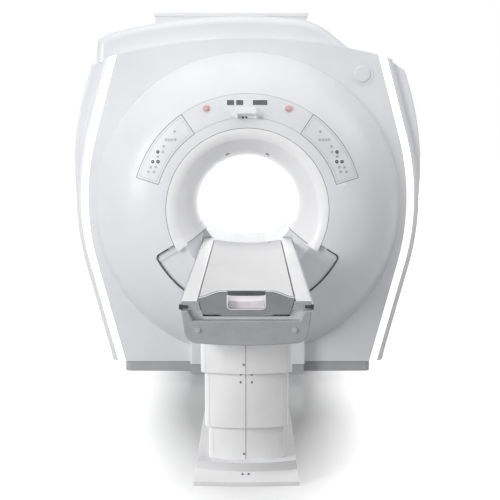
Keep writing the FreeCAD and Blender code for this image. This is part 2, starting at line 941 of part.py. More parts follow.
def make_stop_collar(side):
    """Fixed ring and contact block round a stop button."""
    out, place = stop_place(side)
    outer = Part.makeCylinder(
        stop_collar, stop_collar_proud + band_depth, place - out * (band_depth - seam), out
    )
    clear_dish = spun(
        dish_edges(band_outer, band_depth - seam / 2, control_back, band_inner, band_outer),
        180 - 2 * band_start,
        band_start,
    )
    clear_dish = clear_dish.cut(stop_bore(side, stop_radius + stop_block_wall))
    sleeve = Part.makeCylinder(
        stop_radius + stop_block_wall, stop_block, place - out * (stop_block - seam), out
    )
    bore = stop_bore(side, stop_stem_radius + running_gap)
    low = place + out * (stop_proud - stop_head - stop_travel - 1)
    seat = Part.makeCylinder(stop_radius + stop_seat_gap, control_front, low, out)
    return outer.fuse(sleeve).cut([clear_dish, bore, seat]).removeSplitter()


def make_display(x0, width):
    """Glass window that stands just proud of the display band."""
    level = band_middle + window_offset
    y = dish_face_y(level)
    low = bore_height + level - window_height / 2
    pane = box(x0, x0 + width, y - window_depth, y + window_depth, low, low + window_height)
    skin = spun(
        dish_edges(band_outer, -window_thickness, -seam / 4, band_inner, band_outer),
        180 - 2 * band_start,
        band_start,
    )
    return pane.common(skin)


hood_low = bore_height + band_inner - hood_drop
hood_high = hood_low + hood_height
hood_front = ring_front - hood_reach
scoop_y = hood_front + scoop_ahead
scoop_z = hood_low - scoop_set


def laser_bore():
    """Opening behind the alignment light's hood."""
    half = hood_half_width - hood_bore_margin
    low, high = hood_low + hood_bore_margin, hood_high - hood_bore_margin / 2
    return box(-half, half, hood_front + scoop_radius, face_front, low, high)


def lens_rod(x, radius, start, length):
    """Round bar square to the scoop, from a distance off the scoop's axis."""
    turn = math.radians(lens_turn)
    out = V(0, math.cos(turn), math.sin(turn))
    return Part.makeCylinder(radius, length, V(x, scoop_y, scoop_z) + out * start, out)


def make_laser_housing():
    """Hood over the alignment light: sloping top, splayed cheeks, scooped underside."""
    y_high = dish_face_y(hood_high - bore_height)
    left, right = hood_centre - hood_half_width, hood_centre + hood_half_width
    y_back = y_high + control_front
    side = [
        V(left, y_back, hood_high),
        V(left, y_high - hood_round, hood_high),
        V(left, hood_front, hood_low + hood_lip),
        V(left, hood_front, hood_low),
        V(left, y_back, hood_low),
    ]
    wire = Part.makePolygon(side + side[:1])
    block = Part.Face(wire).extrude(V(right - left, 0, 0))
    level = hood_low + hood_splay_rise
    spread = hood_half_width + hood_splay
    y_point = dish_face_y(math.hypot(spread, level - bore_height))
    cheek = Part.makeLoft([wire, Part.Vertex(V(hood_centre - spread, y_point, level))], True, True)
    middle = V(hood_centre, 0, 0)
    cheeks = [cheek, cheek.mirror(middle, X_AXIS)]
    hollow = scoop_half
    scoop = rod(hood_centre - hollow, scoop_y, scoop_z, scoop_radius, 2 * hollow, X_AXIS)
    ends = [
        Part.makeSphere(scoop_radius, V(hood_centre + s * hollow, scoop_y, scoop_z))
        for s in (1, -1)
    ]
    keep = box(left + hood_round, right - hood_round, -far, 0, 0, far)
    ends = [end.common(keep) for end in ends]
    behind = spun(
        dish_edges(dish_radius, -seam / 2, control_back, ring_radius, band_outer),
        180 - 2 * band_start,
        band_start,
    )
    seats = [
        lens_rod(x, lens_radius + seam / 2, scoop_radius - 2, lens_length + 2 + seam / 2)
        for x in lens_places
    ]
    return keep_largest(block.fuse(cheeks).cut([scoop] + ends + [behind] + seats))


def make_laser_lens():
    """Two round windows in the hood's scoop."""
    lenses = [lens_rod(x, lens_radius, scoop_radius - lens_proud, lens_length) for x in lens_places]
    return Part.makeCompound(lenses)


def make_roundel():
    """Plain raised disc on a flat rim, on the front panel."""
    low, high = face_front - roundel_rim, face_front - roundel_height
    x, z = polar(dish_radius + roundel_gap + roundel_radius, roundel_turn)
    rim = rod(x, low, z, roundel_radius, roundel_rim - seam / 2, Y_AXIS)
    disc = rod(x, high, z, roundel_disc, roundel_height - seam / 2, Y_AXIS)
    edges = [e for e in disc.Edges if e.Closed and abs(e.CenterOfMass.y - high) < 0.01]
    return rim.fuse(disc.makeFillet(roundel_rim, edges)).removeSplitter()


def make_dock_column():
    """Box-shaped cover under the dish that the table stands against."""
    high = bore_height - notch_radius
    back = face_front + face_depth
    block = box(-dock_half_width, dock_half_width, dock_front, back, skirt_height, high)
    rims = [
        e
        for e in block.Edges
        if abs(e.CenterOfMass.y - dock_front) < 1e-6
        and abs(abs(e.CenterOfMass.x) - dock_half_width) < 1e-6
    ]
    block = block.makeFillet(dock_round, rims)
    inner = box(
        -dock_half_width + cover_wall,
        dock_half_width - cover_wall,
        dock_front + cover_wall,
        back + 1,
        skirt_height - 1,
        high + 1,
    )
    shell = block.cut(inner)
    return keep_largest(shell.cut(spun(outline_under_dish(seam))))


def outline_under_dish(gap):
    """Everything behind the dish's face, out to its rim, for trimming."""
    back = face_front + face_depth + cover_wall
    curve = [
        V(r, dish_face_y(r, -gap), 0)
        for r in (ring_radius, (ring_radius + dish_radius) / 2, dish_radius)
    ]
    edge = [
        arc(*curve),
        Part.LineSegment(curve[2], V(dish_radius + gap, curve[2].y, 0)).toShape(),
        Part.LineSegment(V(dish_radius + gap, curve[2].y, 0), V(dish_radius + gap, back, 0)).toShape(),
        Part.LineSegment(V(dish_radius + gap, back, 0), V(0, back, 0)).toShape(),
        Part.LineSegment(V(0, back, 0), V(0, curve[0].y, 0)).toShape(),
        Part.LineSegment(V(0, curve[0].y, 0), curve[0]).toShape(),
    ]
    return edge


def keep_largest(shape):
    """The biggest solid of a cut result."""
    return max(shape.Solids, key=lambda s: s.Volume)


def build_front():
    """All covers and controls on the front."""
    parts["front_dish"] = make_dish()
    parts["front_panel"] = make_face_panel()
    parts["light_strips"] = pair(make_light_strip())
    parts["front_corners"] = pair(make_front_corner())
    parts["front_flare"] = make_front_flare()
    parts["dock_plate"] = make_dock_plate()
    parts["dock_gasket"] = make_gasket()
    parts["dock_column"] = make_dock_column()
    parts["roundel"] = make_roundel()
    gap_deg = math.degrees(panel_gap / band_inner)
    middle_start = band_start + panel_sweep
    spans = {
        "control_panel_right": (band_start + gap_deg, panel_sweep - 1.5 * gap_deg),
        "display_panel": (middle_start + gap_deg / 2, 180 - 2 * middle_start - gap_deg),
        "control_panel_left": (180 - middle_start + gap_deg / 2, panel_sweep - 1.5 * gap_deg),
    }
    holes = [key_bore(x, z, key_radius + running_gap) for x, z in key_places()]
    holes += [stop_bore(side, stop_radius + 1) for side in (1, -1)]
    holes.append(laser_bore())
    for name, (start, sweep) in spans.items():
        parts[name] = panel_blank(start, sweep, 0.3).cut(holes)
    for n, (x, z) in enumerate(key_places()):
        side = "right" if x > 0 else "left"
        parts["key_%s_%d" % (side, n % len(key_spots) + 1)] = make_key(x, z)
    for side, name in ((1, "right"), (-1, "left")):
        parts["stop_button_" + name] = make_stop_button(side)
    collars = [make_stop_collar(side) for side in (1, -1)]
    parts["display_panel"] = parts["display_panel"].fuse(collars).removeSplitter()
    parts["display_windows"] = Part.makeCompound([make_display(*span) for span in window_spans])
    parts["laser_housing"] = make_laser_housing()
    parts["laser_lens"] = make_laser_lens()


# ================================================================ body covers
def side_block(inset, x_inner, y0, y1, z0, z1):
    """Solid between a vertical plane and the right-hand outline of the side cover."""
    low = math.radians(side_lower_lean)
    high = math.radians(side_upper_lean)
    low_c = V(side_half_width - side_lower_radius, y0, side_mid_height)
    high_c = V(side_half_width - side_upper_radius, y0, side_mid_height)

    def at(centre, radius, turn):
        return centre + V(math.cos(turn), 0, math.sin(turn)) * (radius - inset)

    reach = side_lower_radius
    down = V(-math.sin(low), 0, -math.cos(low)) * reach
    up = V(-math.sin(high), 0, math.cos(high)) * reach
    a = at(low_c, side_lower_radius, -low)
    b = at(low_c, side_lower_radius, -low / 2)
    c = at(low_c, side_lower_radius, 0)
    d = at(high_c, side_upper_radius, high / 2)
    e = at(high_c, side_upper_radius, high)
    start, end = a + down, e + up
    edges = [
        Part.LineSegment(start, a).toShape(),
        arc(a, b, c),
        arc(c, d, e),
        Part.LineSegment(e, end).toShape(),
        Part.LineSegment(end, V(-reach, y0, end.z)).toShape(),
        Part.LineSegment(V(-reach, y0, end.z), V(-reach, y0, start.z)).toShape(),
        Part.LineSegment(V(-reach, y0, start.z), start).toShape(),
    ]
    return plate_xz(edges, y0, y1).common(box(x_inner, 2 * reach, y0 - 1, y1 + 1, z0, z1))


side_start = face_front + 2 + strip_setback + return_depth + seam
side_end = rear_plane - rear_depth - seam


def falling_top(shoulder, fall, inset):
    """What lies above the sloping outer part of a side cover's top."""
    x = shoulder - inset * math.tan(math.radians(fall / 2))
    z = side_top - inset
    reach = side_half_width
    drop = reach * math.tan(math.radians(fall))
    points = [(x, z), (x + reach, z - drop), (x + reach, z + 1), (x, z + 1)]
    return polygon_xz(points, side_start - 1, side_end + 2)


def make_side_cover(shoulder, fall):
    """Right-hand side cover with its front wall and its top flange."""
    block = side_block(0, side_inner, side_start, side_end, skirt_height, side_top)
    block = block.cut(falling_top(shoulder, fall, 0))
    lip = [
        e
        for e in block.Edges
        if e.BoundBox.ZMin > side_top - side_drop
        and e.CenterOfMass.x > (side_inner + side_half_width) / 2
        and e.BoundBox.YLength > face_depth
    ]
    block = block.makeFillet(side_round, lip)
    rims = [
        e
        for e in block.Edges
        if abs(e.BoundBox.YMax - side_start) < 1e-4
        and e.CenterOfMass.x > side_inner + 1
        and e.CenterOfMass.z > skirt_height + 1
        and e.CenterOfMass.z < side_top - 1e-3
    ]
    block = block.makeFillet(side_round / 2, rims)
    inner = side_block(
        cover_wall,
        -side_inner,
        side_start + cover_wall,
        side_end + 1,
        skirt_height - 1,
        side_top - cover_wall,
    ).cut(falling_top(shoulder, fall, cover_wall))
    opening = rod(0, side_start - 1, bore_height, dish_radius, cover_wall + 2, Y_AXIS)
    return keep_largest(block.cut([inner, opening]))


def roof_block(inset, y0, y1, low):
    """Solid under the roof's outline: left wall, crown, shoulder, right slope."""
    crown = V(roof_crown_x, y0, roof_crown_z - roof_crown_radius)
    radius = roof_crown_radius - inset

    def on_crown(turn):
        return crown + V(math.sin(turn), 0, math.cos(turn)) * radius

    right = math.asin((roof_shoulder_x - roof_crown_x) / roof_crown_radius)
    left = math.asin((roof_crease_x - roof_crown_x) / roof_crown_radius)
    bend = V(math.sin(right), 0, math.cos(right)) * (roof_crown_radius - roof_shoulder_radius)
    shoulder = crown + bend
    slope = math.radians(roof_slope)

    def on_shoulder(turn):
        return shoulder + V(math.sin(turn), 0, math.cos(turn)) * (roof_shoulder_radius - inset)

    end = on_shoulder(slope)
    foot_x = end.x + (end.z - low) / math.tan(slope)
    crease = on_crown(left)
    corner = V(roof_left + inset, y0, roof_left_height - inset)
    foot = V(foot_x, y0, low)
    heel = V(roof_foot_left + inset, y0, low)
    edges = [
        Part.LineSegment(heel, corner).toShape(),
        Part.LineSegment(corner, crease).toShape(),
        arc(crease, on_crown((left + right) / 2), on_crown(right)),
        arc(on_crown(right), on_shoulder((right + slope) / 2), end),
        Part.LineSegment(end, foot).toShape(),
        Part.LineSegment(foot, heel).toShape(),
    ]
    block = plate_xz(edges, y0, y1)
    ridges = [
        e
        for e in block.Edges
        if e.BoundBox.YLength > y1 - y0 - 1
        and (
            (e.CenterOfMass - V(corner.x, e.CenterOfMass.y, corner.z)).Length < 1
            or (e.CenterOfMass - V(crease.x, e.CenterOfMass.y, crease.z)).Length < 1
        )
    ]
    return block.makeFillet(roof_corner, ridges)


def make_roof():
    """Roof cover: rounded front edge, open under the turret."""
    y0 = face_front + face_depth + seam
    low = side_top + seam
    block = roof_block(0, y0, side_end, low)
    rims = [
        e
        for e in block.Edges
        if abs(e.BoundBox.YMax - y0) < 1e-4 and e.CenterOfMass.z > side_top + 1
    ]
    block = block.makeFillet(roof_round, rims)
    inner = roof_block(cover_wall, y0 + cover_wall, side_end + 1, low - 1)
    rims = [
        e
        for e in inner.Edges
        if abs(e.BoundBox.YMax - y0 - cover_wall) < 1e-4 and e.CenterOfMass.z > side_top + 1
    ]
    inner = inner.makeFillet(roof_round - cover_wall, rims)
    margin = 3 * turret_lip
    hatch = box(
        turret_left + margin,
        turret_right - margin,
        turret_front + margin,
        turret_back - margin,
        side_top + cover_wall,
        far,
    )
    opening = rod(0, y0 - 1, bore_height, dish_radius, cover_wall + 2, Y_AXIS)
    return keep_largest(block.cut([inner, hatch, opening]))


def make_turret():
    """Low box on the roof over the cold head, with an overhanging lid."""
    low = side_top + turret_root
    high = turret_top - turret_lid + 1
    x0, x1 = turret_left + turret_lip, turret_right - turret_lip
    y0, y1 = turret_front + turret_lip, turret_back - turret_lip
    block = box(x0, x1, y0, y1, low, high)
    posts = [e for e in block.Edges if e.BoundBox.ZLength > 1]
    block = block.makeFillet(turret_lip, posts)
    inner = box(
        x0 + cover_wall, x1 - cover_wall, y0 + cover_wall, y1 - cover_wall, low - 1, high + 1
    )
    walls = block.cut([inner, roof_block(-seam, y0 - 1, y1 + 1, side_top)])
    return walls.fuse(turret_lid_shape()).removeSplitter()


def turret_lid_shape():
    """Lid with a lip that overhangs the turret's walls."""
    lid = box(
        turret_left, turret_right, turret_front, turret_back, turret_top - turret_lid, turret_top
    )
    posts = [e for e in lid.Edges if e.BoundBox.ZLength > turret_lid / 2]
    lid = lid.makeFillet(2 * turret_lip, posts)
    top = [e for e in lid.Edges if e.BoundBox.ZMin > turret_top - 1e-3]
    lid = lid.makeFillet(turret_lip / 2, top)
    inner = box(
        turret_left + turret_lip + cover_wall,
        turret_right - turret_lip - cover_wall,
        turret_front + turret_lip + cover_wall,
        turret_back - turret_lip - cover_wall,
        turret_top - turret_lid - 1,
        turret_top - cover_wall,
    )
    return lid.cut(inner)


def body_section(inset, y0, y1, low):
    """Whole body outline as seen from behind: both sides and the roof."""
    right = side_block(inset, 0, y0, y1, low, side_top - inset)
    middle = roof_block(inset, y0, y1, side_top - side_drop)
    return right.fuse([mirrored(right), middle]).removeSplitter()


def make_rear_cover():
    """Back cover: a pan with a return flange and the rear flare's opening."""
    y0 = rear_plane - rear_depth
    pan = body_section(0, y0, rear_plane, skirt_height)
    core = body_section(cover_wall, y0 - 1, rear_plane - cover_wall, skirt_height + cover_wall)
    hole = rod(0, y0 - 1, bore_height, rear_ring, rear_depth + 2, Y_AXIS)
    return pan.cut([core, hole])


def make_rear_flare():
    """Funnel from the bore to the back cover, with a rolled lip."""
    wide = rear_ring - seam
    fall = rear_plane + mouth_y
    run = wide - rear_lip - bore_radius
    bend = (run**2 + fall**2) / (2 * run)

    def at(y, offset):
        return V(
            bore_radius + bend - math.sqrt((bend - offset) ** 2 - (y + mouth_y) ** 2), y, 0
        )

    mouth, back = -mouth_y, rear_plane
    middle = (mouth + back) / 2
    a, b, c = at(mouth, 0), at(middle, 0), at(back, 0)
    lip = V(wide, back, 0)
    heel = V(wide, back - cover_wall, 0)
    d = at(back - cover_wall, cover_wall)
    e, f = at(middle, cover_wall), at(mouth, cover_wall)
    edges = [arc(a, b, c)]
    edges += [Part.LineSegment(p, q).toShape() for p, q in ((c, lip), (lip, heel), (heel, d))]
    edges += [arc(d, e, f), Part.LineSegment(f, a).toShape()]
    return spun(edges)


def make_kick_plate():
    """Dark plinth under the covers: two low frames that stand on the floor."""
    return main_plinth().fuse(dock_plinth()).removeSplitter()


def main_plinth():
    """Frame under the gantry's covers."""
    y0, y1 = face_front + kick_setback, rear_plane - kick_setback
    frame = box(-kick_half_width, kick_half_width, y0, y1, 0, skirt_height - seam)
    posts = [e for e in frame.Edges if e.BoundBox.ZLength > skirt_height / 2]
    frame = frame.makeFillet(2 * kick_wall, posts)
    inner = box(
        -kick_half_width + kick_wall,
        kick_half_width - kick_wall,
        y0 + kick_wall,
        y1 - kick_wall,
        -1,
        skirt_height,
    )
    return frame.cut(inner)


def dock_plinth():
    """Frame under the dock column, in front of the main plinth."""
    width = dock_half_width - kick_setback
    y0, y1 = dock_front + kick_setback, face_front + kick_setback
    frame = box(-width, width, y0, y1, 0, skirt_height - seam)
    inner = box(-width + kick_wall, width - kick_wall, y0 + kick_wall, y1 + 1, -1, skirt_height)
    return frame.cut(inner)


def build_body():
    """Covers behind the front, and the plinths."""
    parts["side_cover_right"] = make_side_cover(side_shoulder_right, side_fall_right)
    parts["side_cover_left"] = mirrored(make_side_cover(side_shoulder_left, side_fall_left))
    parts["roof_cover"] = make_roof()
    parts["turret_cover"] = make_turret()
    parts["rear_cover"] = make_rear_cover()
    parts["rear_flare"] = make_rear_flare()
    parts["kick_plate"] = make_kick_plate()


# ================================================================ magnet and coils
def ring(inner, outer, y0, y1):
    """Tube about the bore axis."""
    return spun(outline([(inner, y0), (outer, y0), (outer, y1), (inner, y1)]))


def make_magnet():
    """Magnet vessel: a closed double-walled cylinder with end flanges."""
    half = vessel_half_length
    section = [
        (vessel_bore, -half),
        (vessel_flange, -half),
        (vessel_flange, -half + vessel_flange_width),
        (vessel_radius, -half + vessel_flange_width),
        (vessel_radius, half - vessel_flange_width),
        (vessel_flange, half - vessel_flange_width),
        (vessel_flange, half),
        (vessel_bore, half),
    ]
    return spun(outline(section)).fuse(vessel_feet()).removeSplitter()


def vessel_feet():
    """Four feet with anchor holes, welded to the vessel's underside."""
    feet = []
    top = bore_height - vessel_radius / 2
    for sx in (1, -1):
        for sy in (1, -1):
            y = sy * anchor_y
            ya, yb = y - foot_half_width, y + foot_half_width
            plate = box(foot_inner_x, foot_outer_x, ya, yb, 0, foot_plate_height)
            ya, yb = y - foot_web_half, y + foot_web_half
            web = box(foot_inner_x, foot_web_x, ya, yb, foot_plate_height, top)
            foot = plate.fuse(web)
            foot = foot.cut(rod(anchor_x, y, -1, anchor_hole, foot_plate_height + 2, Z_AXIS))
            foot = foot.cut(rod(0, -far, bore_height, vessel_radius - foot_weld, 2 * far, Y_AXIS))
            feet.append(foot if sx > 0 else mirrored(foot))
    return feet


def coil_with_supports(inner, outer, half, seat):
    """Coil cylinder with two rings that centre it in the next bore."""
    tube = ring(inner, outer, -half, half)
    rings = [
        ring(outer - 1, seat - seam / 2, y, y + support_width)
        for y in (-half + support_width, half - 2 * support_width)
    ]
    return tube.fuse(rings).removeSplitter()


def make_rf_coil():
    """Birdcage coil former: a thin tube with end rings and rungs."""
    half = rf_half_length
    tube = ring(rf_outer - rf_wall, rf_outer, -half, half)
    rings = [
        ring(rf_outer - 1, gradient_inner - seam / 2, y, y + rung_width)
        for y in (-half, half - rung_width)
    ]
    inward = [
        ring(bore_radius + liner_wall + seam / 2, rf_outer - rf_wall + 1, y, y + rung_width)
        for y in (-half, half - rung_width)
    ]
    rungs = []
    for n in range(rf_rungs):
        bar = box(
            rf_outer - 1, rf_outer + rung_thickness, -half, half, -rung_width / 2, rung_width / 2
        )
        bar.rotate(V(0, 0, 0), Y_AXIS, 360.0 * n / rf_rungs)
        bar.translate(V(0, 0, bore_height))
        rungs.append(bar)
    return tube.fuse(rings + inward + rungs).removeSplitter()


def make_cold_head():
    """Cold head on the vessel's top, inside the turret."""
    reach = math.sqrt(vessel_radius**2 - cold_head_x**2)
    base = bore_height + reach - cold_head_sink
    sleeve_top = turret_top - cold_sleeve_gap
    sleeve = rod(cold_head_x, cold_head_y, base, cold_head_radius, sleeve_top - base, Z_AXIS)
    flange_radius = cold_head_radius + cold_flange_reach
    cap = rod(cold_head_x, cold_head_y, sleeve_top, flange_radius, cold_flange_height, Z_AXIS)
    cap_top = sleeve_top + cold_flange_height
    motor = rod(cold_head_x, cold_head_y, cap_top, cold_motor_radius, cold_motor_height, Z_AXIS)
    whole = sleeve.fuse([cap, motor]).removeSplitter()
    return whole.cut(rod(0, -far, bore_height, vessel_radius + seam / 2, 2 * far, Y_AXIS))


def build_magnet():
    """Everything inside the covers of the gantry."""
    parts["magnet_vessel"] = make_magnet()
    parts["gradient_coil"] = coil_with_supports(
        gradient_inner, gradient_outer, gradient_half_length, vessel_bore
    )
    parts["rf_body_coil"] = make_rf_coil()
    end = -mouth_y - seam
    parts["bore_liner"] = ring(bore_radius, bore_radius + liner_wall, -end, end)
    parts["cold_head"] = make_cold_head()


# ================================================================ table
def tub_section(inset, y0, y1, bottom, top):
    """Solid with the table's cross-section: flat bottom, rounded bilge, flared sides."""
    slope = (table_half_width - tub_waist) / (tub_top - tub_waist_z)
    low = bottom + inset
    low_x = tub_waist + (low - tub_waist_z) * slope - inset
    high_x = tub_waist + (top - tub_waist_z) * slope - inset
    points = [(-low_x, low), (low_x, low), (high_x, top), (-high_x, top)]
    block = polygon_xz(points, y0, y1)
    bilge = [e for e in block.Edges if e.BoundBox.YLength > 1 and e.CenterOfMass.z < low + 1]
    return block.makeFillet(max(tub_corner - inset, 1.0), bilge)


def make_tub():
    """Under-cover of the table top, shallow at the head end."""
    deep = tub_section(0, tub_front, neck_y, tub_bottom, tub_top)
    hollow = tub_section(tub_wall, tub_front + tub_wall, neck_y - tub_wall, tub_bottom, tub_top + 1)
    low, high = cradle_flat_z - deck_gap, tub_top + 1
    mouth_points = [(beside_foot_plate(z), z) for z in (low, high)]
    mouth_points += [(-x, z) for x, z in reversed(mouth_points)]
    mouth = polygon_xz(mouth_points, tub_front - 1, tub_front + tub_wall + 1)
    head_mouth = box(
        -rail_inner,
        rail_inner,
        table_back - tub_wall - 1,
        table_back + 1,
        cradle_flat_z - glide_height - 2 * seam,
        far,
    )
    ramp_rise = neck_bottom - tub_bottom
    wedge_pts = [
        V(-far, neck_y + 1, tub_bottom - 1),
        V(-far, neck_y + 1, neck_bottom),
        V(-far, neck_y, neck_bottom),
        V(-far, neck_y - neck_ramp, tub_bottom - 1),
    ]
    ramp = Part.Face(Part.makePolygon(wedge_pts + wedge_pts[:1])).extrude(V(2 * far, 0, 0))
    inner_ramp = ramp.copy()
    inner_ramp.translate(V(0, -tub_wall * 1.5, tub_wall))
    hollow = hollow.cut(inner_ramp)
    neck = tub_section(0, neck_y - 1, table_back, neck_bottom, tub_top)
    y0, y1 = neck_y - tub_wall - 2, table_back - tub_wall
    neck_hollow = tub_section(tub_wall, y0, table_back + 1, neck_bottom, tub_top + 1)
    neck_hollow = neck_hollow.common(box(-far, far, y0, y1, 0, far))
    shell = deep.cut([hollow, ramp, mouth]).fuse(neck).cut([neck_hollow, head_mouth])
    return keep_largest(shell.removeSplitter())


def beside_foot_plate(z):
    """How far out the foot plate's slanted edge and its gap reach at a height."""
    slope = (foot_plate_top - foot_plate_bottom) / (foot_plate_side_z - foot_plate_low)
    return foot_plate_bottom + (z - foot_plate_low) * slope + foot_plate_gap


def make_side_rail():
    """Right-hand rail beside the cradle, with a slanted cheek at its foot end."""
    low = tub_top + seam
    rail = box(rail_inner, table_half_width, table_front, table_back, low, rail_top)
    rounds = [
        e
        for e in rail.Edges
        if e.BoundBox.YLength > rail_depth and e.CenterOfMass.z > rail_top - 1
    ]
    high = rail_top - rail_round
    corners = [(beside_foot_plate(z), z) for z in (low, high)]
    corners += [(rail_inner + 1, high), (rail_inner + 1, low)]
    cheek = polygon_xz(corners, table_front, tub_front + tub_wall)
    return rail.makeFillet(rail_round, rounds).fuse(cheek).removeSplitter()


def make_table_frame():
    """Welded frame in the tub: two hollow beams, cross members and rail ledges."""
    high = cradle_flat_z - glide_height - seam - running_gap
    low = neck_bottom + tub_wall + seam
    y0, y1 = tub_front + tub_wall + seam, table_back - tub_wall - seam
    stations = [y0] + [y0 + step for step in member_stations]
    stations += [neck_y - neck_member_gap, y1 - beam_outer / 2]
    members = []
    for s in (1, -1):
        xa, xb = sorted((s * beam_inner, s * beam_outer))
        beam = box(xa, xb, y0, y1, low, high)
        beam = beam.cut(
            box(xa + beam_wall, xb - beam_wall, y0 - 1, y1 + 1, low + beam_wall, high - beam_wall)
        )
        members.append(beam)
    slope_x = tub_waist + (low - tub_waist_z) * (table_half_width - tub_waist) / (tub_top - tub_waist_z)
    reach = slope_x - tub_wall - 3 * tub_corner / 4 - ledge_gap
    for y in stations:
        wide = beam_outer / 2
        for s in (1, -1):
            xa, xb = sorted((s * (beam_outer - 1), s * reach))
            members.append(box(xa, xb, y, y + wide, low, low + 2 * beam_wall))
            xa, xb = sorted((s * (reach - 2 * beam_wall), s * reach))
            members.append(box(xa, xb, y, y + wide, low, tub_top))
        members.append(box(-beam_inner - 1, beam_inner + 1, y, y + wide, low, low + beam_wall))
    bores = []
    for y in (pulley_front_y, pulley_back_y):
        half = pulley_shaft + bearing_margin
        for s in (1, -1):
            xa, xb = sorted((s * beam_inner, s * (beam_inner + beam_wall)))
            members.append(box(xa, xb, y - half, y + half, pulley_z - half, low + 1))
        bores.append(rod(-beam_outer, y, pulley_z, pulley_shaft + pin_gap, 2 * beam_outer, X_AXIS))
    return members[0].fuse(members[1:]).cut(bores).removeSplitter()


def glides(y0, y1, root):
    """Two strips that the cradle slides on, let into their bed by root."""
    low = cradle_flat_z - glide_height - running_gap
    return [
        box(x - glide_half, x + glide_half, y0, y1, low - root, low + glide_height)
        for x in (glide_x, -glide_x)
    ]


def make_bridge():
    """Bed through the bore, with a deck and fixed rails at its front end."""
    top = cradle_flat_z - glide_height - seam - running_gap
    y0 = table_back + bridge_gap
    bed = rod(0, y0, bore_height, bridge_radius, bridge_back - y0, Y_AXIS)
    bed = bed.common(box(-far, far, -far, far, 0, top))
    outer = rod(0, y0, bore_height, trough_radius - 1, deck_end_y - y0, Y_AXIS)
    outer = outer.common(box(-table_half_width, table_half_width, -far, far, 0, rail_top))
    inner = rod(0, y0 - 1, bore_height, cradle_under_radius + deck_gap, deck_end_y - y0 + 2, Y_AXIS)
    inner = inner.common(box(-far, far, -far, far, top, far))
    deck = outer.cut(inner)
    return bed.fuse([deck]).fuse(glides(y0, bridge_back, 1)).removeSplitter()


def make_cradle():
    """Long dished patient support that slides into the bore."""
    half = cradle_half_width
    y0 = cradle_front_y
    reach = cradle_under_radius
    edge_low = bore_height - math.sqrt(reach**2 - half**2)
    flat_half = math.sqrt(reach**2 - (bore_height - cradle_flat_z) ** 2)
    mid_turn = (math.acos(half / reach) + math.acos(flat_half / reach)) / 2

    def under(side):
        return V(side * reach * math.cos(mid_turn), y0, bore_height - reach * math.sin(mid_turn))

    top_l, top_r = V(-half, y0, cradle_edge_z), V(half, y0, cradle_edge_z)
    low_l, low_r = V(-half, y0, edge_low), V(half, y0, edge_low)
    flat_l, flat_r = V(-flat_half, y0, cradle_flat_z), V(flat_half, y0, cradle_flat_z)
    edges = [
        arc(top_l, V(0, y0, cradle_edge_z - cradle_dish), top_r),
        Part.LineSegment(top_r, low_r).toShape(),
        arc(low_r, under(1), flat_r),
        Part.LineSegment(flat_r, flat_l).toShape(),
        arc(flat_l, under(-1), low_l),
        Part.LineSegment(low_l, top_l).toShape(),
    ]
    body = plate_xz(edges, y0, cradle_head_y)
    plan = box(-half - 1, half + 1, y0 - 1, cradle_head_y, 0, far)
    posts = [e for e in plan.Edges if e.BoundBox.ZLength > 1 and e.CenterOfMass.y > y0]
    body = body.common(plan.makeFillet(cradle_head_corner, posts))
    pocket = box(
        -grip_half_width - pocket_side,
        grip_half_width + pocket_side,
        y0 - 1,
        y0 + lever_pocket,
        grip_low - pocket_floor,
        far,
    )
    pin_y, pin_z = lever_axis()
    half_pin = grip_half_width + pin_bearing
    pin = rod(-half_pin, pin_y, pin_z, lever_pin + pin_gap, 2 * half_pin, X_AXIS)
    return body.cut([pocket, pin])


def lever_axis():
    """y and z of the release lever's pin."""
    return cradle_front_y + lever_pocket / 2, grip_low + 1


def make_foot_plate():
    """Upright plate on the cradle's foot end with a wavy top and a grip slot."""
    y0, y1 = cradle_front_y - foot_plate_thickness, cradle_front_y - seam / 2
    crest, side = foot_plate_crest, foot_plate_top
    high, low = foot_plate_high, foot_plate_side_z
    a, b = V(side, y0, low), V(crest, y0, high)
    wave = Part.BezierCurve()
    wave.setPoles([a, V(side - wave_low, y0, low + wave_lift), V(crest + wave_high, y0, high), b])
    wave_l = Part.BezierCurve()
    wave_l.setPoles([V(-p.x, p.y, p.z) for p in wave.getPoles()])
    foot_r, foot_l = V(foot_plate_bottom, y0, foot_plate_low), V(-foot_plate_bottom, y0, foot_plate_low)
    edges = [
        wave.toShape(),
        wave_l.toShape(),
        Part.LineSegment(b, V(-b.x, y0, b.z)).toShape(),
        Part.LineSegment(a, foot_r).toShape(),
        Part.LineSegment(foot_r, foot_l).toShape(),
        Part.LineSegment(foot_l, V(-a.x, y0, a.z)).toShape(),
    ]
    plate = plate_xz(edges, y0, y1)
    slot = box(-grip_half_width, grip_half_width, y0 - 1, y1 + 1, grip_low, high - grip_bar)
    posts = [e for e in slot.Edges if e.BoundBox.YLength > 1 and e.CenterOfMass.z < grip_low + 1]
    return plate.cut(slot.makeFillet(grip_corner, posts))


def make_release_lever():
    """Paddle in the grip slot, on a barrel that turns about its pin."""
    pin_y, pin_z = lever_axis()
    half, thick = grip_half_width - grip_side_gap, lever_thickness / 2
    barrel = rod(-half, pin_y, pin_z, lever_pin + lever_barrel_wall, 2 * half, X_AXIS)
    blade = box(-half, half, pin_y - thick, pin_y + thick, pin_z, lever_high)
    posts = [e for e in blade.Edges if e.BoundBox.YLength > 1 and e.CenterOfMass.z > lever_high - 1]
    blade = blade.makeFillet(grip_corner / 2, posts)
    reach = grip_half_width + pin_bearing - 1
    pin = rod(-reach, pin_y, pin_z, lever_pin, 2 * reach, X_AXIS)
    return barrel.fuse([blade, pin]).removeSplitter()


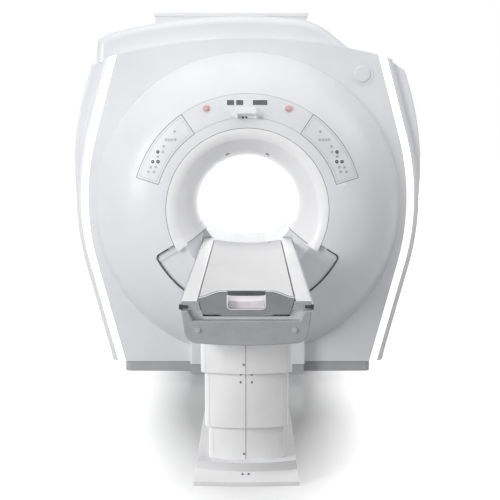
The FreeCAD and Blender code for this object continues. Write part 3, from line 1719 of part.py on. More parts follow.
def make_bumper():
    """Grey end cap round the foot end of the table, with a dipped top edge."""
    y0 = table_front - bumper_gap - bumper_thickness
    y1 = tub_front - seam
    block = tub_section(0, y0, y1, tub_bottom, tub_top)
    dip = polygon_xz(
        [
            (-bumper_shelf, tub_top + 1),
            (-bumper_dip_x, bumper_dip),
            (bumper_dip_x, bumper_dip),
            (bumper_shelf, tub_top + 1),
        ],
        y0 - 1,
        y1 + 1,
    )
    half = tub_waist - tub_corner - bumper_sag
    left, middle, right = (
        V(x, y0, tub_bottom - (0 if x else bumper_sag)) for x in (-half, 0, half)
    )
    belly = plate_xz([arc(left, middle, right), Part.LineSegment(right, left).toShape()], y0, y1)
    block = block.cut(dip).fuse(belly).removeSplitter()
    rims = [e for e in block.Edges if abs(e.BoundBox.YMax - y0) < 1e-4]
    block = block.makeFillet(bumper_round, rims)
    hollow = tub_section(
        tub_wall, y0 + bumper_thickness - bumper_round, y1 + 1, tub_bottom, bumper_dip - tub_wall
    )
    return block.cut(hollow)


def make_knob(side):
    """Round latch knob on the bumper."""
    y0 = table_front - bumper_gap - bumper_thickness
    base = V(side * knob_x, y0 - seam / 2, knob_z)
    return rounded_cap(knob_radius, knob_height - seam / 2, knob_round, base, -Y_AXIS)


def make_rail_strip():
    """Right-hand accessory rail along the table's side."""
    strip = box(
        table_half_width + seam / 2,
        rail_strip_x,
        table_front,
        rail_strip_back,
        rail_strip_low,
        rail_strip_high,
    )
    groove = box(
        rail_strip_x - strip_groove_depth,
        rail_strip_x + 1,
        table_front - 1,
        rail_strip_back + 1,
        rail_strip_low + strip_groove_margin,
        rail_strip_high - strip_groove_margin,
    )
    return strip.cut(groove)


def make_rail_plug():
    """Right-hand black end plug of the accessory rail, T-shaped."""
    y0, y1 = table_front - plug_depth, table_front - seam / 2
    stem = box(plug_inner, table_half_width - 2, y0, y1, rail_strip_low + 4, rail_strip_high - 4)
    head = box(table_half_width - 3, rail_strip_x, y0, y1, rail_strip_low - 1, rail_strip_high)
    return stem.fuse(head).removeSplitter()


def pulley(y, shaft_left):
    """Flanged belt pulley on a through shaft."""
    half = pulley_width / 2
    wheel = rod(-half, y, pulley_z, pulley_radius, pulley_width, X_AXIS)
    cheeks = [
        rod(x, y, pulley_z, pulley_radius + pulley_cheek, pulley_cheek_width, X_AXIS)
        for x in (-half - pulley_cheek_width, half)
    ]
    shaft_right = beam_inner + beam_wall
    shaft = rod(-shaft_left, y, pulley_z, pulley_shaft, shaft_left + shaft_right, X_AXIS)
    return wheel.fuse(cheeks + [shaft]).removeSplitter()


def make_belt():
    """Flat toothed belt round both pulleys."""
    half = pulley_width / 2 - 1

    def loop(radius):
        top = V(-half, pulley_front_y, pulley_z + radius)
        span = V(0, pulley_back_y - pulley_front_y, 0)
        low = top - V(0, 0, 2 * radius)
        front = V(-half, pulley_front_y - radius, pulley_z)
        back = V(-half, pulley_back_y + radius, pulley_z)
        edges = [
            Part.LineSegment(top, top + span).toShape(),
            arc(top + span, back, low + span),
            Part.LineSegment(low + span, low).toShape(),
            arc(low, front, top),
        ]
        return Part.Face(Part.Wire(edges)).extrude(V(2 * half, 0, 0))

    inner = pulley_radius + seam / 2
    return loop(inner + belt_thickness).cut(loop(inner))


def make_clamp():
    """Bracket under the cradle that grips the belt's top run."""
    low = pulley_z + pulley_radius + belt_thickness + seam
    half = pulley_width / 2 - 1
    high = cradle_flat_z - seam / 2
    return box(-half, half, clamp_y - clamp_half, clamp_y + clamp_half, low, high)


def make_drive_motor():
    """Motor beside the front pulley, on the frame's beam."""
    x0 = -beam_outer - seam / 2
    y, z = pulley_front_y, pulley_z
    return rod(x0 - motor_length, y, z, motor_radius, motor_length, X_AXIS)


# ================================================================ pedestal
def tier_block(level, inset, z0, z1):
    """Rounded box with a bowed front; level 0 is the upper, widest cover."""
    step = level * tier_step + inset
    half = tier_half_width - step
    front, back = pedestal_front + step, pedestal_back - step
    shoulder = front + pedestal_bow_depth
    edges = [
        arc(V(-half, shoulder, z0), V(0, front, z0), V(half, shoulder, z0)),
        Part.LineSegment(V(half, shoulder, z0), V(half, back, z0)).toShape(),
        Part.LineSegment(V(half, back, z0), V(-half, back, z0)).toShape(),
        Part.LineSegment(V(-half, back, z0), V(-half, shoulder, z0)).toShape(),
    ]
    block = Part.Face(Part.Wire(Part.__sortEdges__(edges))).extrude(V(0, 0, z1 - z0))
    posts = [e for e in block.Edges if e.BoundBox.ZLength > (z1 - z0) / 2]
    return block.makeFillet(max(tier_corner - inset, 1.0), posts)


def make_tier(level, z0, z1):
    """One telescoping cover of the pedestal: an open sleeve."""
    step = level * tier_step
    half = tier_half_width - step
    radius = (half**2 + pedestal_bow_depth**2) / (2 * pedestal_bow_depth)
    edge = half - fascia_border
    grooves = []
    for x in (-edge, 0, edge):
        y = pedestal_front + step + radius - math.sqrt(radius**2 - x**2)
        wide = groove_width / 2
        grooves.append(box(x - wide, x + wide, y - 2, y + groove_width, z0 - 1, z1 + 1))
    hollow = tier_block(level, tier_wall, z0 - 1, z1 + 1)
    return tier_block(level, 0, z0, z1).cut([hollow] + grooves)


def make_middle_cover():
    """Middle sleeve with guide pads that run on the lower sleeve."""
    sleeve = make_tier(1, middle_low, middle_high)
    outer = tier_half_width - tier_step - tier_wall + 1
    inner = tier_half_width - 2 * tier_step + running_gap
    pads = []
    for y in column_places():
        for s in (1, -1):
            xa, xb = sorted((s * inner, s * outer))
            pads.append(box(xa, xb, y - guide_half, y + guide_half, middle_low, lower_high - guide_drop))
    return sleeve.fuse(pads).removeSplitter()


def base_outline(half, front, back, z, bulge):
    """Closed plan wire of the base at a height."""
    return Part.Wire(
        [
            arc(V(-half, front + bulge, z), V(0, front, z), V(half, front + bulge, z)),
            Part.LineSegment(V(half, front + bulge, z), V(half, back, z)).toShape(),
            Part.LineSegment(V(half, back, z), V(-half, back, z)).toShape(),
            Part.LineSegment(V(-half, back, z), V(-half, front + bulge, z)).toShape(),
        ]
    )


def base_levels(inset):
    """Solid of the flared base: straight toe, slope, then an undercut ledge."""
    wide, front = toe_half_width - inset, toe_front + inset
    back = pedestal_back - inset
    low = 1 if inset else 0
    floor = base_outline(wide, front, back + toe_back, -low, toe_bow_depth)
    foot = base_outline(wide, front, back + toe_back, toe_height, toe_bow_depth)
    knee = base_outline(
        wide - ledge_inset / 2, front + ledge_undercut, back + knee_back, ledge_low, pedestal_bow_depth
    )
    brow = base_outline(
        wide - ledge_inset,
        front + ledge_setback,
        back + brow_back,
        ledge_z - (tier_wall if inset else 0),
        pedestal_bow_depth,
    )
    wires = (floor, foot, knee, brow)
    steps = [Part.makeLoft([a, b], True, True) for a, b in zip(wires, wires[1:])]
    return steps[0].fuse(steps[1:]).removeSplitter()


def make_base_fairing():
    """Flared skirt on the floor with a ledge round the lower cover."""
    shell = base_levels(0).cut(base_levels(tier_wall))
    hole = tier_block(2, -seam, ledge_low - fairing_seat, ledge_z + 1)
    groove = base_levels(-1).cut(base_levels(groove_width))
    groove = groove.common(
        box(-far, far, -far, far, toe_height - toe_groove, toe_height)
    )
    return keep_largest(shell.cut([hole, groove]))


def make_base_plate():
    """Steel base plate with four anchor holes and the fixed lift columns."""
    mid = (pedestal_front + pedestal_back) / 2
    half_x = tier_half_width - 2 * tier_step - tier_wall - seam
    half_x, half_y = half_x + base_border, base_hole_y + base_end
    plate = box(-half_x, half_x, mid - half_y, mid + half_y, 0, base_plate_height)
    holes = [
        rod(sx * base_hole_x, mid + sy * base_hole_y, -1, base_hole, base_plate_height + 2, Z_AXIS)
        for sx in (1, -1)
        for sy in (1, -1)
    ]
    tubes = [
        square_tube(column_size / 2, y, base_plate_height, column_high, column_wall)
        for y in column_places()
    ]
    return plate.cut(holes).fuse(tubes).removeSplitter()


def column_places():
    """y of both lift columns."""
    mid = (pedestal_front + pedestal_back) / 2
    return mid - column_spread, mid + column_spread


def square_tube(half, y, z0, z1, wall):
    """Square hollow section that stands on end."""
    outer = box(-half, half, y - half, y + half, z0, z1)
    inner = box(-half + wall, half - wall, y - half + wall, y + half - wall, z0 - 1, z1 + 1)
    return outer.cut(inner)


def make_lift_carriage():
    """Sliding columns and nut tube, joined by a head beam under the tub."""
    half = column_size / 2 - column_wall - running_gap
    top = tub_bottom - seam / 2
    plate_low = top - head_plate
    tubes = [
        square_tube(half, y, column_low_inner, plate_low, column_wall) for y in column_places()
    ]
    y0, y1 = column_places()
    head = box(-head_half, head_half, y0 - column_size, y1 + column_size, plate_low, top)
    mid = (y0 + y1) / 2
    nut = rod(0, mid, nut_low, nut_radius, plate_low - nut_low, Z_AXIS)
    nut = nut.cut(rod(0, mid, nut_low - 1, screw_radius + running_gap, plate_low - nut_low, Z_AXIS))
    return head.fuse(tubes + [nut]).removeSplitter()


def make_actuator():
    """Housing of the lift screw between the columns, with its gearbox."""
    mid = sum(column_places()) / 2
    base = base_plate_height + seam / 2
    foot_top = base + actuator_foot
    body = rod(0, mid, base, actuator_radius, actuator_high - base, Z_AXIS)
    half, side = actuator_foot_half, gearbox_half
    foot = box(-half, half, mid - half, mid + half, base, foot_top)
    gear = box(-side, side, mid - gearbox_far, mid - gearbox_near, base, foot_top + gearbox_rise)
    bore = rod(0, mid, foot_top + nut_seat, nut_radius + running_gap, actuator_high, Z_AXIS)
    seat = rod(0, mid, foot_top - screw_seat, screw_radius + pin_gap, actuator_high, Z_AXIS)
    return body.fuse([foot, gear]).removeSplitter().cut([bore, seat])


def make_screw():
    """Lift screw that stands in its housing and turns."""
    mid = sum(column_places()) / 2
    base = base_plate_height + seam + actuator_foot - screw_seat
    return rod(0, mid, base, screw_radius, screw_high - base, Z_AXIS)


def build_table():
    """Table top, cradle, drive and pedestal."""
    parts["table_tub"] = make_tub()
    parts["side_rails"] = pair(make_side_rail())
    parts["accessory_rails"] = pair(make_rail_strip())
    parts["rail_plugs"] = pair(make_rail_plug())
    parts["table_frame"] = make_table_frame()
    parts["table_glides"] = Part.makeCompound(glides(tub_front + glide_start, table_back, 0))
    parts["bore_bridge"] = make_bridge()
    parts["cradle"] = make_cradle()
    parts["cradle_foot_plate"] = make_foot_plate()
    parts["release_lever"] = make_release_lever()
    parts["end_bumper"] = make_bumper()
    parts["bumper_knobs"] = Part.makeCompound([make_knob(1), make_knob(-1)])
    parts["belt_pulley_front"] = pulley(pulley_front_y, beam_outer)
    parts["belt_pulley_back"] = pulley(pulley_back_y, beam_inner + beam_wall)
    parts["drive_belt"] = make_belt()
    parts["belt_clamp"] = make_clamp()
    parts["drive_motor"] = make_drive_motor()
    parts["upper_cover"] = make_tier(0, upper_low, tub_bottom - seam)
    parts["middle_cover"] = make_middle_cover()
    parts["lower_cover"] = make_tier(2, base_plate_height + seam, lower_high)
    parts["base_fairing"] = make_base_fairing()
    parts["base_plate"] = make_base_plate()
    parts["lift_carriage"] = make_lift_carriage()
    parts["lift_actuator"] = make_actuator()
    parts["lift_screw"] = make_screw()


def main():
    build_front()
    build_body()
    build_magnet()
    build_table()
    os.makedirs("parts", exist_ok=True)
    for name, shape in parts.items():
        shape.exportStep("parts/%s.step" % name)
        print(name, len(shape.Solids), shape.isValid(), round(shape.Volume / 1e3), shape.BoundBox)


main()
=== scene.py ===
"""Blender scene of a whole-body magnetic resonance scanner with its patient table.

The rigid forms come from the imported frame. This script gives every node a procedural
material and adds the surface detail that is too fine for the frame: seals, trims, touch
pads, screws, joints and vents. It also builds the lights, the floor and the camera.
Everything is in metres, in the row frame: +X right, +Y into the bore, +Z up.
"""

import logging
import math
from dataclasses import dataclass, replace
from enum import Enum
from typing import Dict, List, Sequence, Tuple, Union

import bmesh
import bpy
import numpy as np
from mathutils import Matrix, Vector

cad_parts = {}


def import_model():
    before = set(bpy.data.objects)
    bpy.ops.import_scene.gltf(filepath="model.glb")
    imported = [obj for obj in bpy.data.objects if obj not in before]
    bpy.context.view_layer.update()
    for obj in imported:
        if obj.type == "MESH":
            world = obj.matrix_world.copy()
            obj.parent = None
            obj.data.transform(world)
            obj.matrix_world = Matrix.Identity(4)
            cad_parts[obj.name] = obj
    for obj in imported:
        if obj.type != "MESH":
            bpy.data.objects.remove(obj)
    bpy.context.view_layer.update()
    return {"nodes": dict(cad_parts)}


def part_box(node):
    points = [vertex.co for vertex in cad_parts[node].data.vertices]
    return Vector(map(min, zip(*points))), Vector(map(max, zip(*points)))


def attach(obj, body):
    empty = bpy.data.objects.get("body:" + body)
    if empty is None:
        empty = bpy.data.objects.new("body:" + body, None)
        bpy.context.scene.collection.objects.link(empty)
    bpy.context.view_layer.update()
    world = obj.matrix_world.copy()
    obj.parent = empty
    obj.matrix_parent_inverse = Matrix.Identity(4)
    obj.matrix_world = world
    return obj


log = logging.getLogger("scene")

Colour = Tuple[float, float, float, float]
Pair = Tuple[float, float]
Triple = Tuple[float, float, float]

X_AXIS, Y_AXIS, Z_AXIS = np.eye(3)
SIDES: Tuple[Tuple[int, str], ...] = ((1, "right"), (-1, "left"))
WHITE: Colour = (1.0, 1.0, 1.0, 1.0)
LINE_POINTS = 12  # Points along a short straight line
CORNER_POINTS = 9  # Points round a quarter circle
SIDE_POINTS = 24  # Points between two corners, or along a strip
RING_POINTS = 40  # Points round a ring
MERGE_DISTANCE = 1e-6  # Points closer than this are one, in metres
SHARP_DEGREES = 35  # An edge that bends by more than this stays sharp


# ---------------------------------------------------------------- colour and nodes
def hex_to_linear(code: str) -> Colour:
    """Turns an sRGB hex code into a linear colour.

    Args:
        code: Six hexadecimal digits.

    Returns:
        Linear red, green, blue and an alpha of one.
    """
    channels = [int(code[i : i + 2], 16) / 255 for i in (0, 2, 4)]
    linear = [c / 12.92 if c <= 0.04045 else ((c + 0.055) / 1.055) ** 2.4 for c in channels]
    return (linear[0], linear[1], linear[2], 1.0)


def add_node(
    tree: bpy.types.NodeTree, kind: str, *first: object, **named: object
) -> bpy.types.Node:
    """Adds a shader node with its settings and links.

    Args:
        tree: The node tree to add to.
        kind: Blender's name of the node's type, without its first word ShaderNode.
        *first: Values of the node's first inputs, in order.
        **named: Properties, or inputs by name with spaces written as underscores. An
            input's value is a constant, or the socket that feeds it.

    Returns:
        The new node.
    """
    node = tree.nodes.new("ShaderNode" + kind)
    inputs: Dict[Union[int, str], object] = dict(enumerate(first))
    for key, value in named.items():
        if hasattr(node, key):
            setattr(node, key, value)
        else:
            inputs[key.replace("_", " ")] = value
    for place, value in inputs.items():
        if isinstance(value, bpy.types.NodeSocket):
            tree.links.new(value, node.inputs[place])
        else:
            node.inputs[place].default_value = value
    return node


def seen_by_eye(tree: bpy.types.NodeTree) -> bpy.types.NodeSocket:
    """Adds the test for a ray that shows the background: seen, mirrored or through glass.

    Args:
        tree: The node tree to add to.

    Returns:
        A socket that is one for such a ray and zero for one that only lights.
    """
    rays = add_node(tree, "LightPath").outputs
    seen = rays["Is Camera Ray"]
    for other in ("Is Glossy Ray", "Is Transmission Ray"):
        either = add_node(tree, "Math", seen, rays[other], operation="MAXIMUM")
        seen = either.outputs["Value"]
    return seen


# ---------------------------------------------------------------- finishes
@dataclass(frozen=True)
class Surface:
    """What a material looks like.

    A real grain of spray, spark erosion or print is about a tenth of a millimetre, too
    fine to show in the render, so it is drawn four to twenty times as coarse.
    """

    name: str  # The real material's name
    colour: str  # Base colour as an sRGB hex code
    shade: str  # Colour of the faint mottling, as an sRGB hex code
    roughness: float  # Mean roughness
    metallic: float = 0.0  # Zero for plastic and paint, near one for bare metal
    coat: float = 0.0  # Weight of the clear coat
    mottle: float = 333.0  # Size of the patches of colour, in millimetres
    grain: float = 1.4  # Size of the drawn surface grain, in millimetres
    bump: float = 0.02  # Strength of the grain's relief
    stretch: float = 1.0  # How much the pattern is drawn out along Y
    glow: float = 0.0  # Painted glow: own light in place of bounced light or a highlight
    end_shade_colour: str = ""  # Colour of the painted shade on the end faces, or nothing where there is none
    end_shade_y: float = 0.0  # Plane in front of which the painted shade lies, in metres


class Finish(Enum):
    """Finishes found on the scanner. Each comment says what the finish gives the eye."""

    # Sprayed satin paint on moulded covers: broad soft lights, faint orange peel.
    PAINTED_COVER = Surface(
        "satin_painted_cover", "E9EAEC", "E3E4E7", 0.36, coat=0.12, mottle=500, grain=1.11
    )
    # The same paint in the bore's mouth, painted a lighter, warmer white with a painted glow in
    # place of the light its walls throw on one another.
    FLARE_PAINT = Surface(
        "flare_paint_with_painted_glow", "EFEFF0", "EAEAEB", 0.38, coat=0.10, mottle=400, grain=1.11, glow=0.07
    )
    # Matt printed foil: even, a little bluer than the cover round it.
    PANEL_FOIL = Surface("control_panel_foil", "E6E7EA", "E0E1E4", 0.42, mottle=111, grain=0.667)
    # Opal acrylic lit from behind: an almost even white with a slight haze.
    LIGHT_DIFFUSER = Surface("opal_light_diffuser", "FAFAF8", "FFFFFA", 0.40, mottle=200)
    # Extruded rubber: dark, dry and slightly rough.
    GASKET_RUBBER = Surface(
        "dark_gasket_rubber", "5A5B5E", "4A4B4E", 0.72, mottle=33.3, grain=0.625, bump=0.10
    )
    # Moulded key caps with a fine spark-eroded grain: dull dark grey.
    KEY_PLASTIC = Surface(
        "grey_key_plastic", "58595C", "4F5053", 0.40, mottle=16.7, grain=0.4, bump=0.03
    )
    # Polished red moulding, faded: small sharp highlights on a pale red.
    STOP_PLASTIC = Surface(
        "pale_red_stop_plastic", "DCAEAC", "D4A2A0", 0.30, coat=0.30, mottle=20, grain=0.4
    )
    # Smoked glass over the displays: smooth, mirrors the lamps.
    DISPLAY_GLASS = Surface(
        "dark_display_glass", "626366", "595A5D", 0.20, coat=0.40, mottle=25, bump=0.0
    )
    # Polished filter glass: nearly black, with a clear point of light.
    LENS_GLASS = Surface(
        "dark_lens_glass", "3A3A3E", "2E2E33", 0.12, coat=0.70, mottle=12.5, bump=0.0
    )
    # Textured powder coat: matt grey with a light pebble.
    PLINTH_PAINT = Surface(
        "dark_plinth_paint", "B6B7B9", "ADAEB0", 0.50, mottle=125, grain=0.909, bump=0.06
    )
    # Brushed-on enamel on the steel vessel: cool grey, uneven in gloss.
    VESSEL_PAINT = Surface(
        "grey_vessel_paint", "C9CBCE", "BFC1C5", 0.45, mottle=250, grain=1.43, bump=0.04
    )
    # Cast epoxy: amber brown with darker clouds.
    COIL_RESIN = Surface(
        "cast_coil_resin", "A88B5E", "94784E", 0.42, mottle=71.4, grain=2.0, bump=0.05
    )
    # Wound glass laminate: olive, with the weave's slight relief.
    LAMINATE = Surface(
        "coil_former_laminate", "8E9272", "7F8464", 0.50, mottle=50, grain=0.769, bump=0.06
    )
    # Gel-coated tube: quiet white, with a painted glow in place of the light inside the bore.
    BORE_LINER = Surface(
        "white_bore_liner", "D8D9DA", "D2D3D4", 0.40, coat=0.05, grain=1.11, glow=0.14
    )
    # Turned aluminium: light metal with a fine tool grain.
    MACHINED_ALUMINIUM = Surface(
        "machined_aluminium", "B9BBBE", "AEB0B4", 0.34, 1.0, mottle=40, grain=0.556, bump=0.05
    )
    # Vacuum-formed tub: satin white, a shade darker than the rails.
    TUB_PLASTIC = Surface(
        "white_tub_plastic", "E4E5E7", "DCDDE0", 0.38, coat=0.10, mottle=200, grain=0.833
    )
    # Extruded rails: bright white drawn out along the table, their end faces painted grey as shade.
    RAIL_PLASTIC = Surface(
        "white_rail_plastic", "F4F4F5", "EEEEEF", 0.40, coat=0.08, mottle=166.7, grain=0.714,
        stretch=6.0, end_shade_colour="A9AAAD", end_shade_y=-2.8925,
    )
    # Anodised extrusion: silky metal with long streaks.
    ANODISED_RAIL = Surface(
        "anodised_accessory_rail", "C6C8CB", "BBBDC1", 0.32, 0.9, mottle=83.3, grain=0.667,
        bump=0.04, stretch=25.0,
    )
    # Moulded end plugs: near black and matt.
    PLUG_PLASTIC = Surface(
        "black_plug_plastic", "262628", "1E1E20", 0.48, mottle=16.7, grain=0.4, bump=0.05
    )
    # Powder-coated steel: mid grey, slightly pebbled.
    FRAME_STEEL = Surface(
        "powder_coated_steel", "85878B", "7A7C80", 0.48, mottle=125, grain=0.714, bump=0.07
    )
    # Bearing plastic: waxy off-white, worn along its length.
    GLIDE_PLASTIC = Surface(
        "low_friction_glide", "DAD8CE", "CFCDC2", 0.45, mottle=66.7, grain=0.667, stretch=8.0
    )
    # Pressed laminate of the patient support: flat white without gloss.
    CRADLE_LAMINATE = Surface(
        "white_cradle_laminate", "E6E6E7", "E1E1E2", 0.60, mottle=250, grain=0.833, stretch=3.0
    )
    # Moulded lever: off-white with a faint pink and a faint painted glow that lightens it in its
    # slot.
    LEVER_PLASTIC = Surface(
        "tinted_lever_plastic", "E4DFE2", "DCD6DA", 0.42, mottle=25, grain=0.5, glow=0.10
    )
    # Soft bumper skin: even grey with a fine leathery grain.
    BUMPER_PLASTIC = Surface(
        "grey_bumper_plastic", "ACADAF", "A3A4A7", 0.46, mottle=83.3, grain=0.625, bump=0.05
    )
    # Small polished knobs: the bumper's grey with sharper lights.
    KNOB_PLASTIC = Surface(
        "white_knob_plastic", "B6B7BA", "ADAEB1", 0.34, coat=0.20, mottle=16.7, grain=0.4
    )
    # Toothed rubber belt: black and dry.
    BELT_RUBBER = Surface(
        "toothed_belt_rubber", "202022", "19191B", 0.70, mottle=16.7, grain=0.667, bump=0.12
    )
    # Sprayed motor housing: dark satin.
    MOTOR_PAINT = Surface(
        "dark_motor_paint", "303134", "28292B", 0.42, mottle=33.3, grain=0.667, bump=0.05
    )
    # Ground steel: bright, narrow highlights.
    SCREW_STEEL = Surface(
        "ground_screw_steel", "AEAFB2", "A2A3A7", 0.24, 1.0, mottle=33.3, grain=0.455, bump=0.05
    )
    # Moulded pedestal skirts: clean white, satin.
    PEDESTAL_PLASTIC = Surface(
        "white_pedestal_plastic", "F2F2F3", "ECECED", 0.38, coat=0.08, mottle=200, grain=0.909
    )
    # Structural foam of the foot plate: darker grey, dull.
    FOOT_PLASTIC = Surface(
        "grey_moulded_foot_plate", "929395", "898A8C", 0.46, mottle=100, grain=0.625, bump=0.05
    )
    # Thin lip of rubber in a joint: reads as a fine grey line.
    SEAL_LINE = Surface(
        "thin_lip_seal", "6C6D70", "5F6063", 0.60, mottle=33.3, grain=0.556, bump=0.05
    )
    # Screen print, light: just darker than the foil.
    PRINT_GREY = Surface("grey_screen_print", "B4B5B8", "ACADB0", 0.45, mottle=16.7, bump=0.0)
    # Screen print, dark: marks that still read as grey.
    PRINT_DARK = Surface("dark_screen_print", "96979A", "8D8E92", 0.45, mottle=16.7, bump=0.0)
    # Raised pads under the foil: grey with a soft light.
    TOUCH_PAD = Surface(
        "touch_pad_foil", "C4C5C8", "BDBEC1", 0.36, coat=0.2, mottle=20, grain=0.455
    )
    # Polished white trim with a painted glow: the whitest line on the part.
    BRIGHT_TRIM = Surface(
        "white_trim_painted_glow", "FBFBFB", "F6F6F7", 0.24, coat=0.4, mottle=50, bump=0.0, glow=0.10
    )
    # Paddle's cap: pale pink-white, with a painted glow that makes it brighter than its shaded
    # slot.
    PADDLE_WHITE = Surface(
        "paddle_plastic_painted_glow", "F4EEF3", "EEE7ED", 0.40, coat=0.1, mottle=25, grain=0.5, glow=0.30
    )
    # Printed ring, bleached: a hint of red round the stop button.
    FADED_RED = Surface("faded_red_ring", "EBD3D0", "E6CCC9", 0.34, coat=0.2, mottle=20, bump=0.0)
    # Smoked window over a lamp: glossy black.
    BLACK_WINDOW = Surface(
        "black_light_window", "1C1C1F", "151518", 0.14, coat=0.6, mottle=16.7, bump=0.0
    )
    # Blackened steel head: dark with a dull metal shine.
    SCREW_HEAD = Surface(
        "blackened_screw_head", "6E6F72", "626366", 0.36, 0.7, mottle=16.7, grain=0.455, bump=0.05
    )


class MaterialLibrary:
    """Makes each procedural material once and hands it out by finish.

    The patches' noise runs from colour to shade over patch_span, and the roughness swings
    with it over the shares in gloss_span.
    """

    patch_detail: Pair = (4.0, 0.55)  # Layers of the patches' noise, and how rough they are
    patch_span: Pair = (0.35, 0.65)
    gloss_span: Pair = (0.88, 1.12)
    grain_detail: float = 2.0  # Layers of the grain's and the haze's noise
    relief: float = 0.0004  # Depth of the grain's relief, in metres
    coat_roughness: float = 0.18
    haze_span: Pair = (0.75, 1.0)  # A diffuser's light where its haze is thick, and thin

    def __init__(self) -> None:
        """Starts with no material made."""
        self._made: Dict[Finish, bpy.types.Material] = {}

    def get(self, finish: Finish) -> bpy.types.Material:
        """Returns the material of a finish, made on first use.

        Args:
            finish: Which finish.

        Returns:
            A node-based material.
        """
        if finish not in self._made:
            make = self._diffuser if finish is Finish.LIGHT_DIFFUSER else self._surface
            self._made[finish] = make(finish.value)
        return self._made[finish]

    @staticmethod
    def blank(name: str) -> Tuple[bpy.types.Material, bpy.types.NodeTree, bpy.types.NodeSocket]:
        """Makes a material without nodes but its object coordinates.

        Args:
            name: The material's name.

        Returns:
            The material, its node tree and the coordinates' socket.
        """
        material = bpy.data.materials.new(name)
        material.use_nodes = True
        tree = material.node_tree
        tree.nodes.clear()
        return material, tree, add_node(tree, "TexCoord").outputs["Object"]

    def _surface(self, look: Surface) -> bpy.types.Material:
        """Plastic, paint, rubber or metal with mottling, uneven gloss and fine grain.

        Args:
            look: What it looks like.

        Returns:
            The material.
        """
        material, tree, coords = self.blank(look.name)
        drawn_out = (1.0, 1.0 / look.stretch, 1.0)
        place = add_node(tree, "Mapping", Vector=coords, Scale=drawn_out).outputs["Vector"]
        detail, rough = self.patch_detail
        patches = add_node(
            tree, "TexNoise", Vector=place, Scale=1000 / look.mottle, Detail=detail, Roughness=rough
        ).outputs["Fac"]
        low, high = self.patch_span
        spread = add_node(tree, "MapRange", Value=patches, From_Min=low, From_Max=high)
        tint = add_node(
            tree, "Mix", data_type="RGBA", Factor=spread.outputs["Result"],
            A=hex_to_linear(look.colour), B=hex_to_linear(look.shade),
        ).outputs["Result"]
        low, high = (look.roughness * share for share in self.gloss_span)
        gloss = add_node(tree, "MapRange", Value=patches, To_Min=low, To_Max=high)
        relief = {}
        if look.bump > 0:
            grain = add_node(
                tree, "TexNoise", Vector=place, Scale=1000 / look.grain, Detail=self.grain_detail
            )
            relief["Normal"] = add_node(
                tree, "Bump", Strength=look.bump, Distance=self.relief, Height=grain.outputs["Fac"]
            ).outputs["Normal"]
        shader = add_node(
            tree, "BsdfPrincipled",
            Base_Color=self._painted_end_shade(tree, coords, tint, look) if look.end_shade_colour else tint,
            Metallic=look.metallic, Roughness=gloss.outputs["Result"], Coat_Weight=look.coat,
            Coat_Roughness=self.coat_roughness, Emission_Color=WHITE, Emission_Strength=look.glow,
            **relief,
        )
        add_node(tree, "OutputMaterial", Surface=shader.outputs["BSDF"])
        return material

    @staticmethod
    def _painted_end_shade(
        tree: bpy.types.NodeTree,
        coords: bpy.types.NodeSocket,
        tint: bpy.types.NodeSocket,
        look: Surface,
    ) -> bpy.types.NodeSocket:
        """Colour with painted shade, in another colour, on the end faces at the foot end.

        Args:
            tree: The material's nodes.
            coords: Object coordinates.
            tint: The mottled colour.
            look: The finish.

        Returns:
            The socket of the final colour.
        """
        split = add_node(tree, "SeparateXYZ", Vector=coords)
        cap = add_node(tree, "Math", split.outputs["Y"], look.end_shade_y, operation="LESS_THAN")
        return add_node(
            tree, "Mix", data_type="RGBA", Factor=cap.outputs["Value"], A=tint,
            B=hex_to_linear(look.end_shade_colour),
        ).outputs["Result"]

    def _diffuser(self, look: Surface) -> bpy.types.Material:
        """Opal plastic that glows almost evenly.

        Args:
            look: What it looks like; its shade is the colour of its light.

        Returns:
            The material.
        """
        material, tree, coords = self.blank(look.name)
        haze = add_node(
            tree, "TexNoise", Vector=coords, Scale=1000 / look.mottle, Detail=self.grain_detail
        )
        low, high = self.haze_span
        level = add_node(tree, "MapRange", Value=haze.outputs["Fac"], To_Min=low, To_Max=high)
        shader = add_node(
            tree, "BsdfPrincipled", Base_Color=hex_to_linear(look.colour), Roughness=look.roughness,
            Emission_Color=hex_to_linear(look.shade), Emission_Strength=level.outputs["Result"],
        )
        add_node(tree, "OutputMaterial", Surface=shader.outputs["BSDF"])
        return material


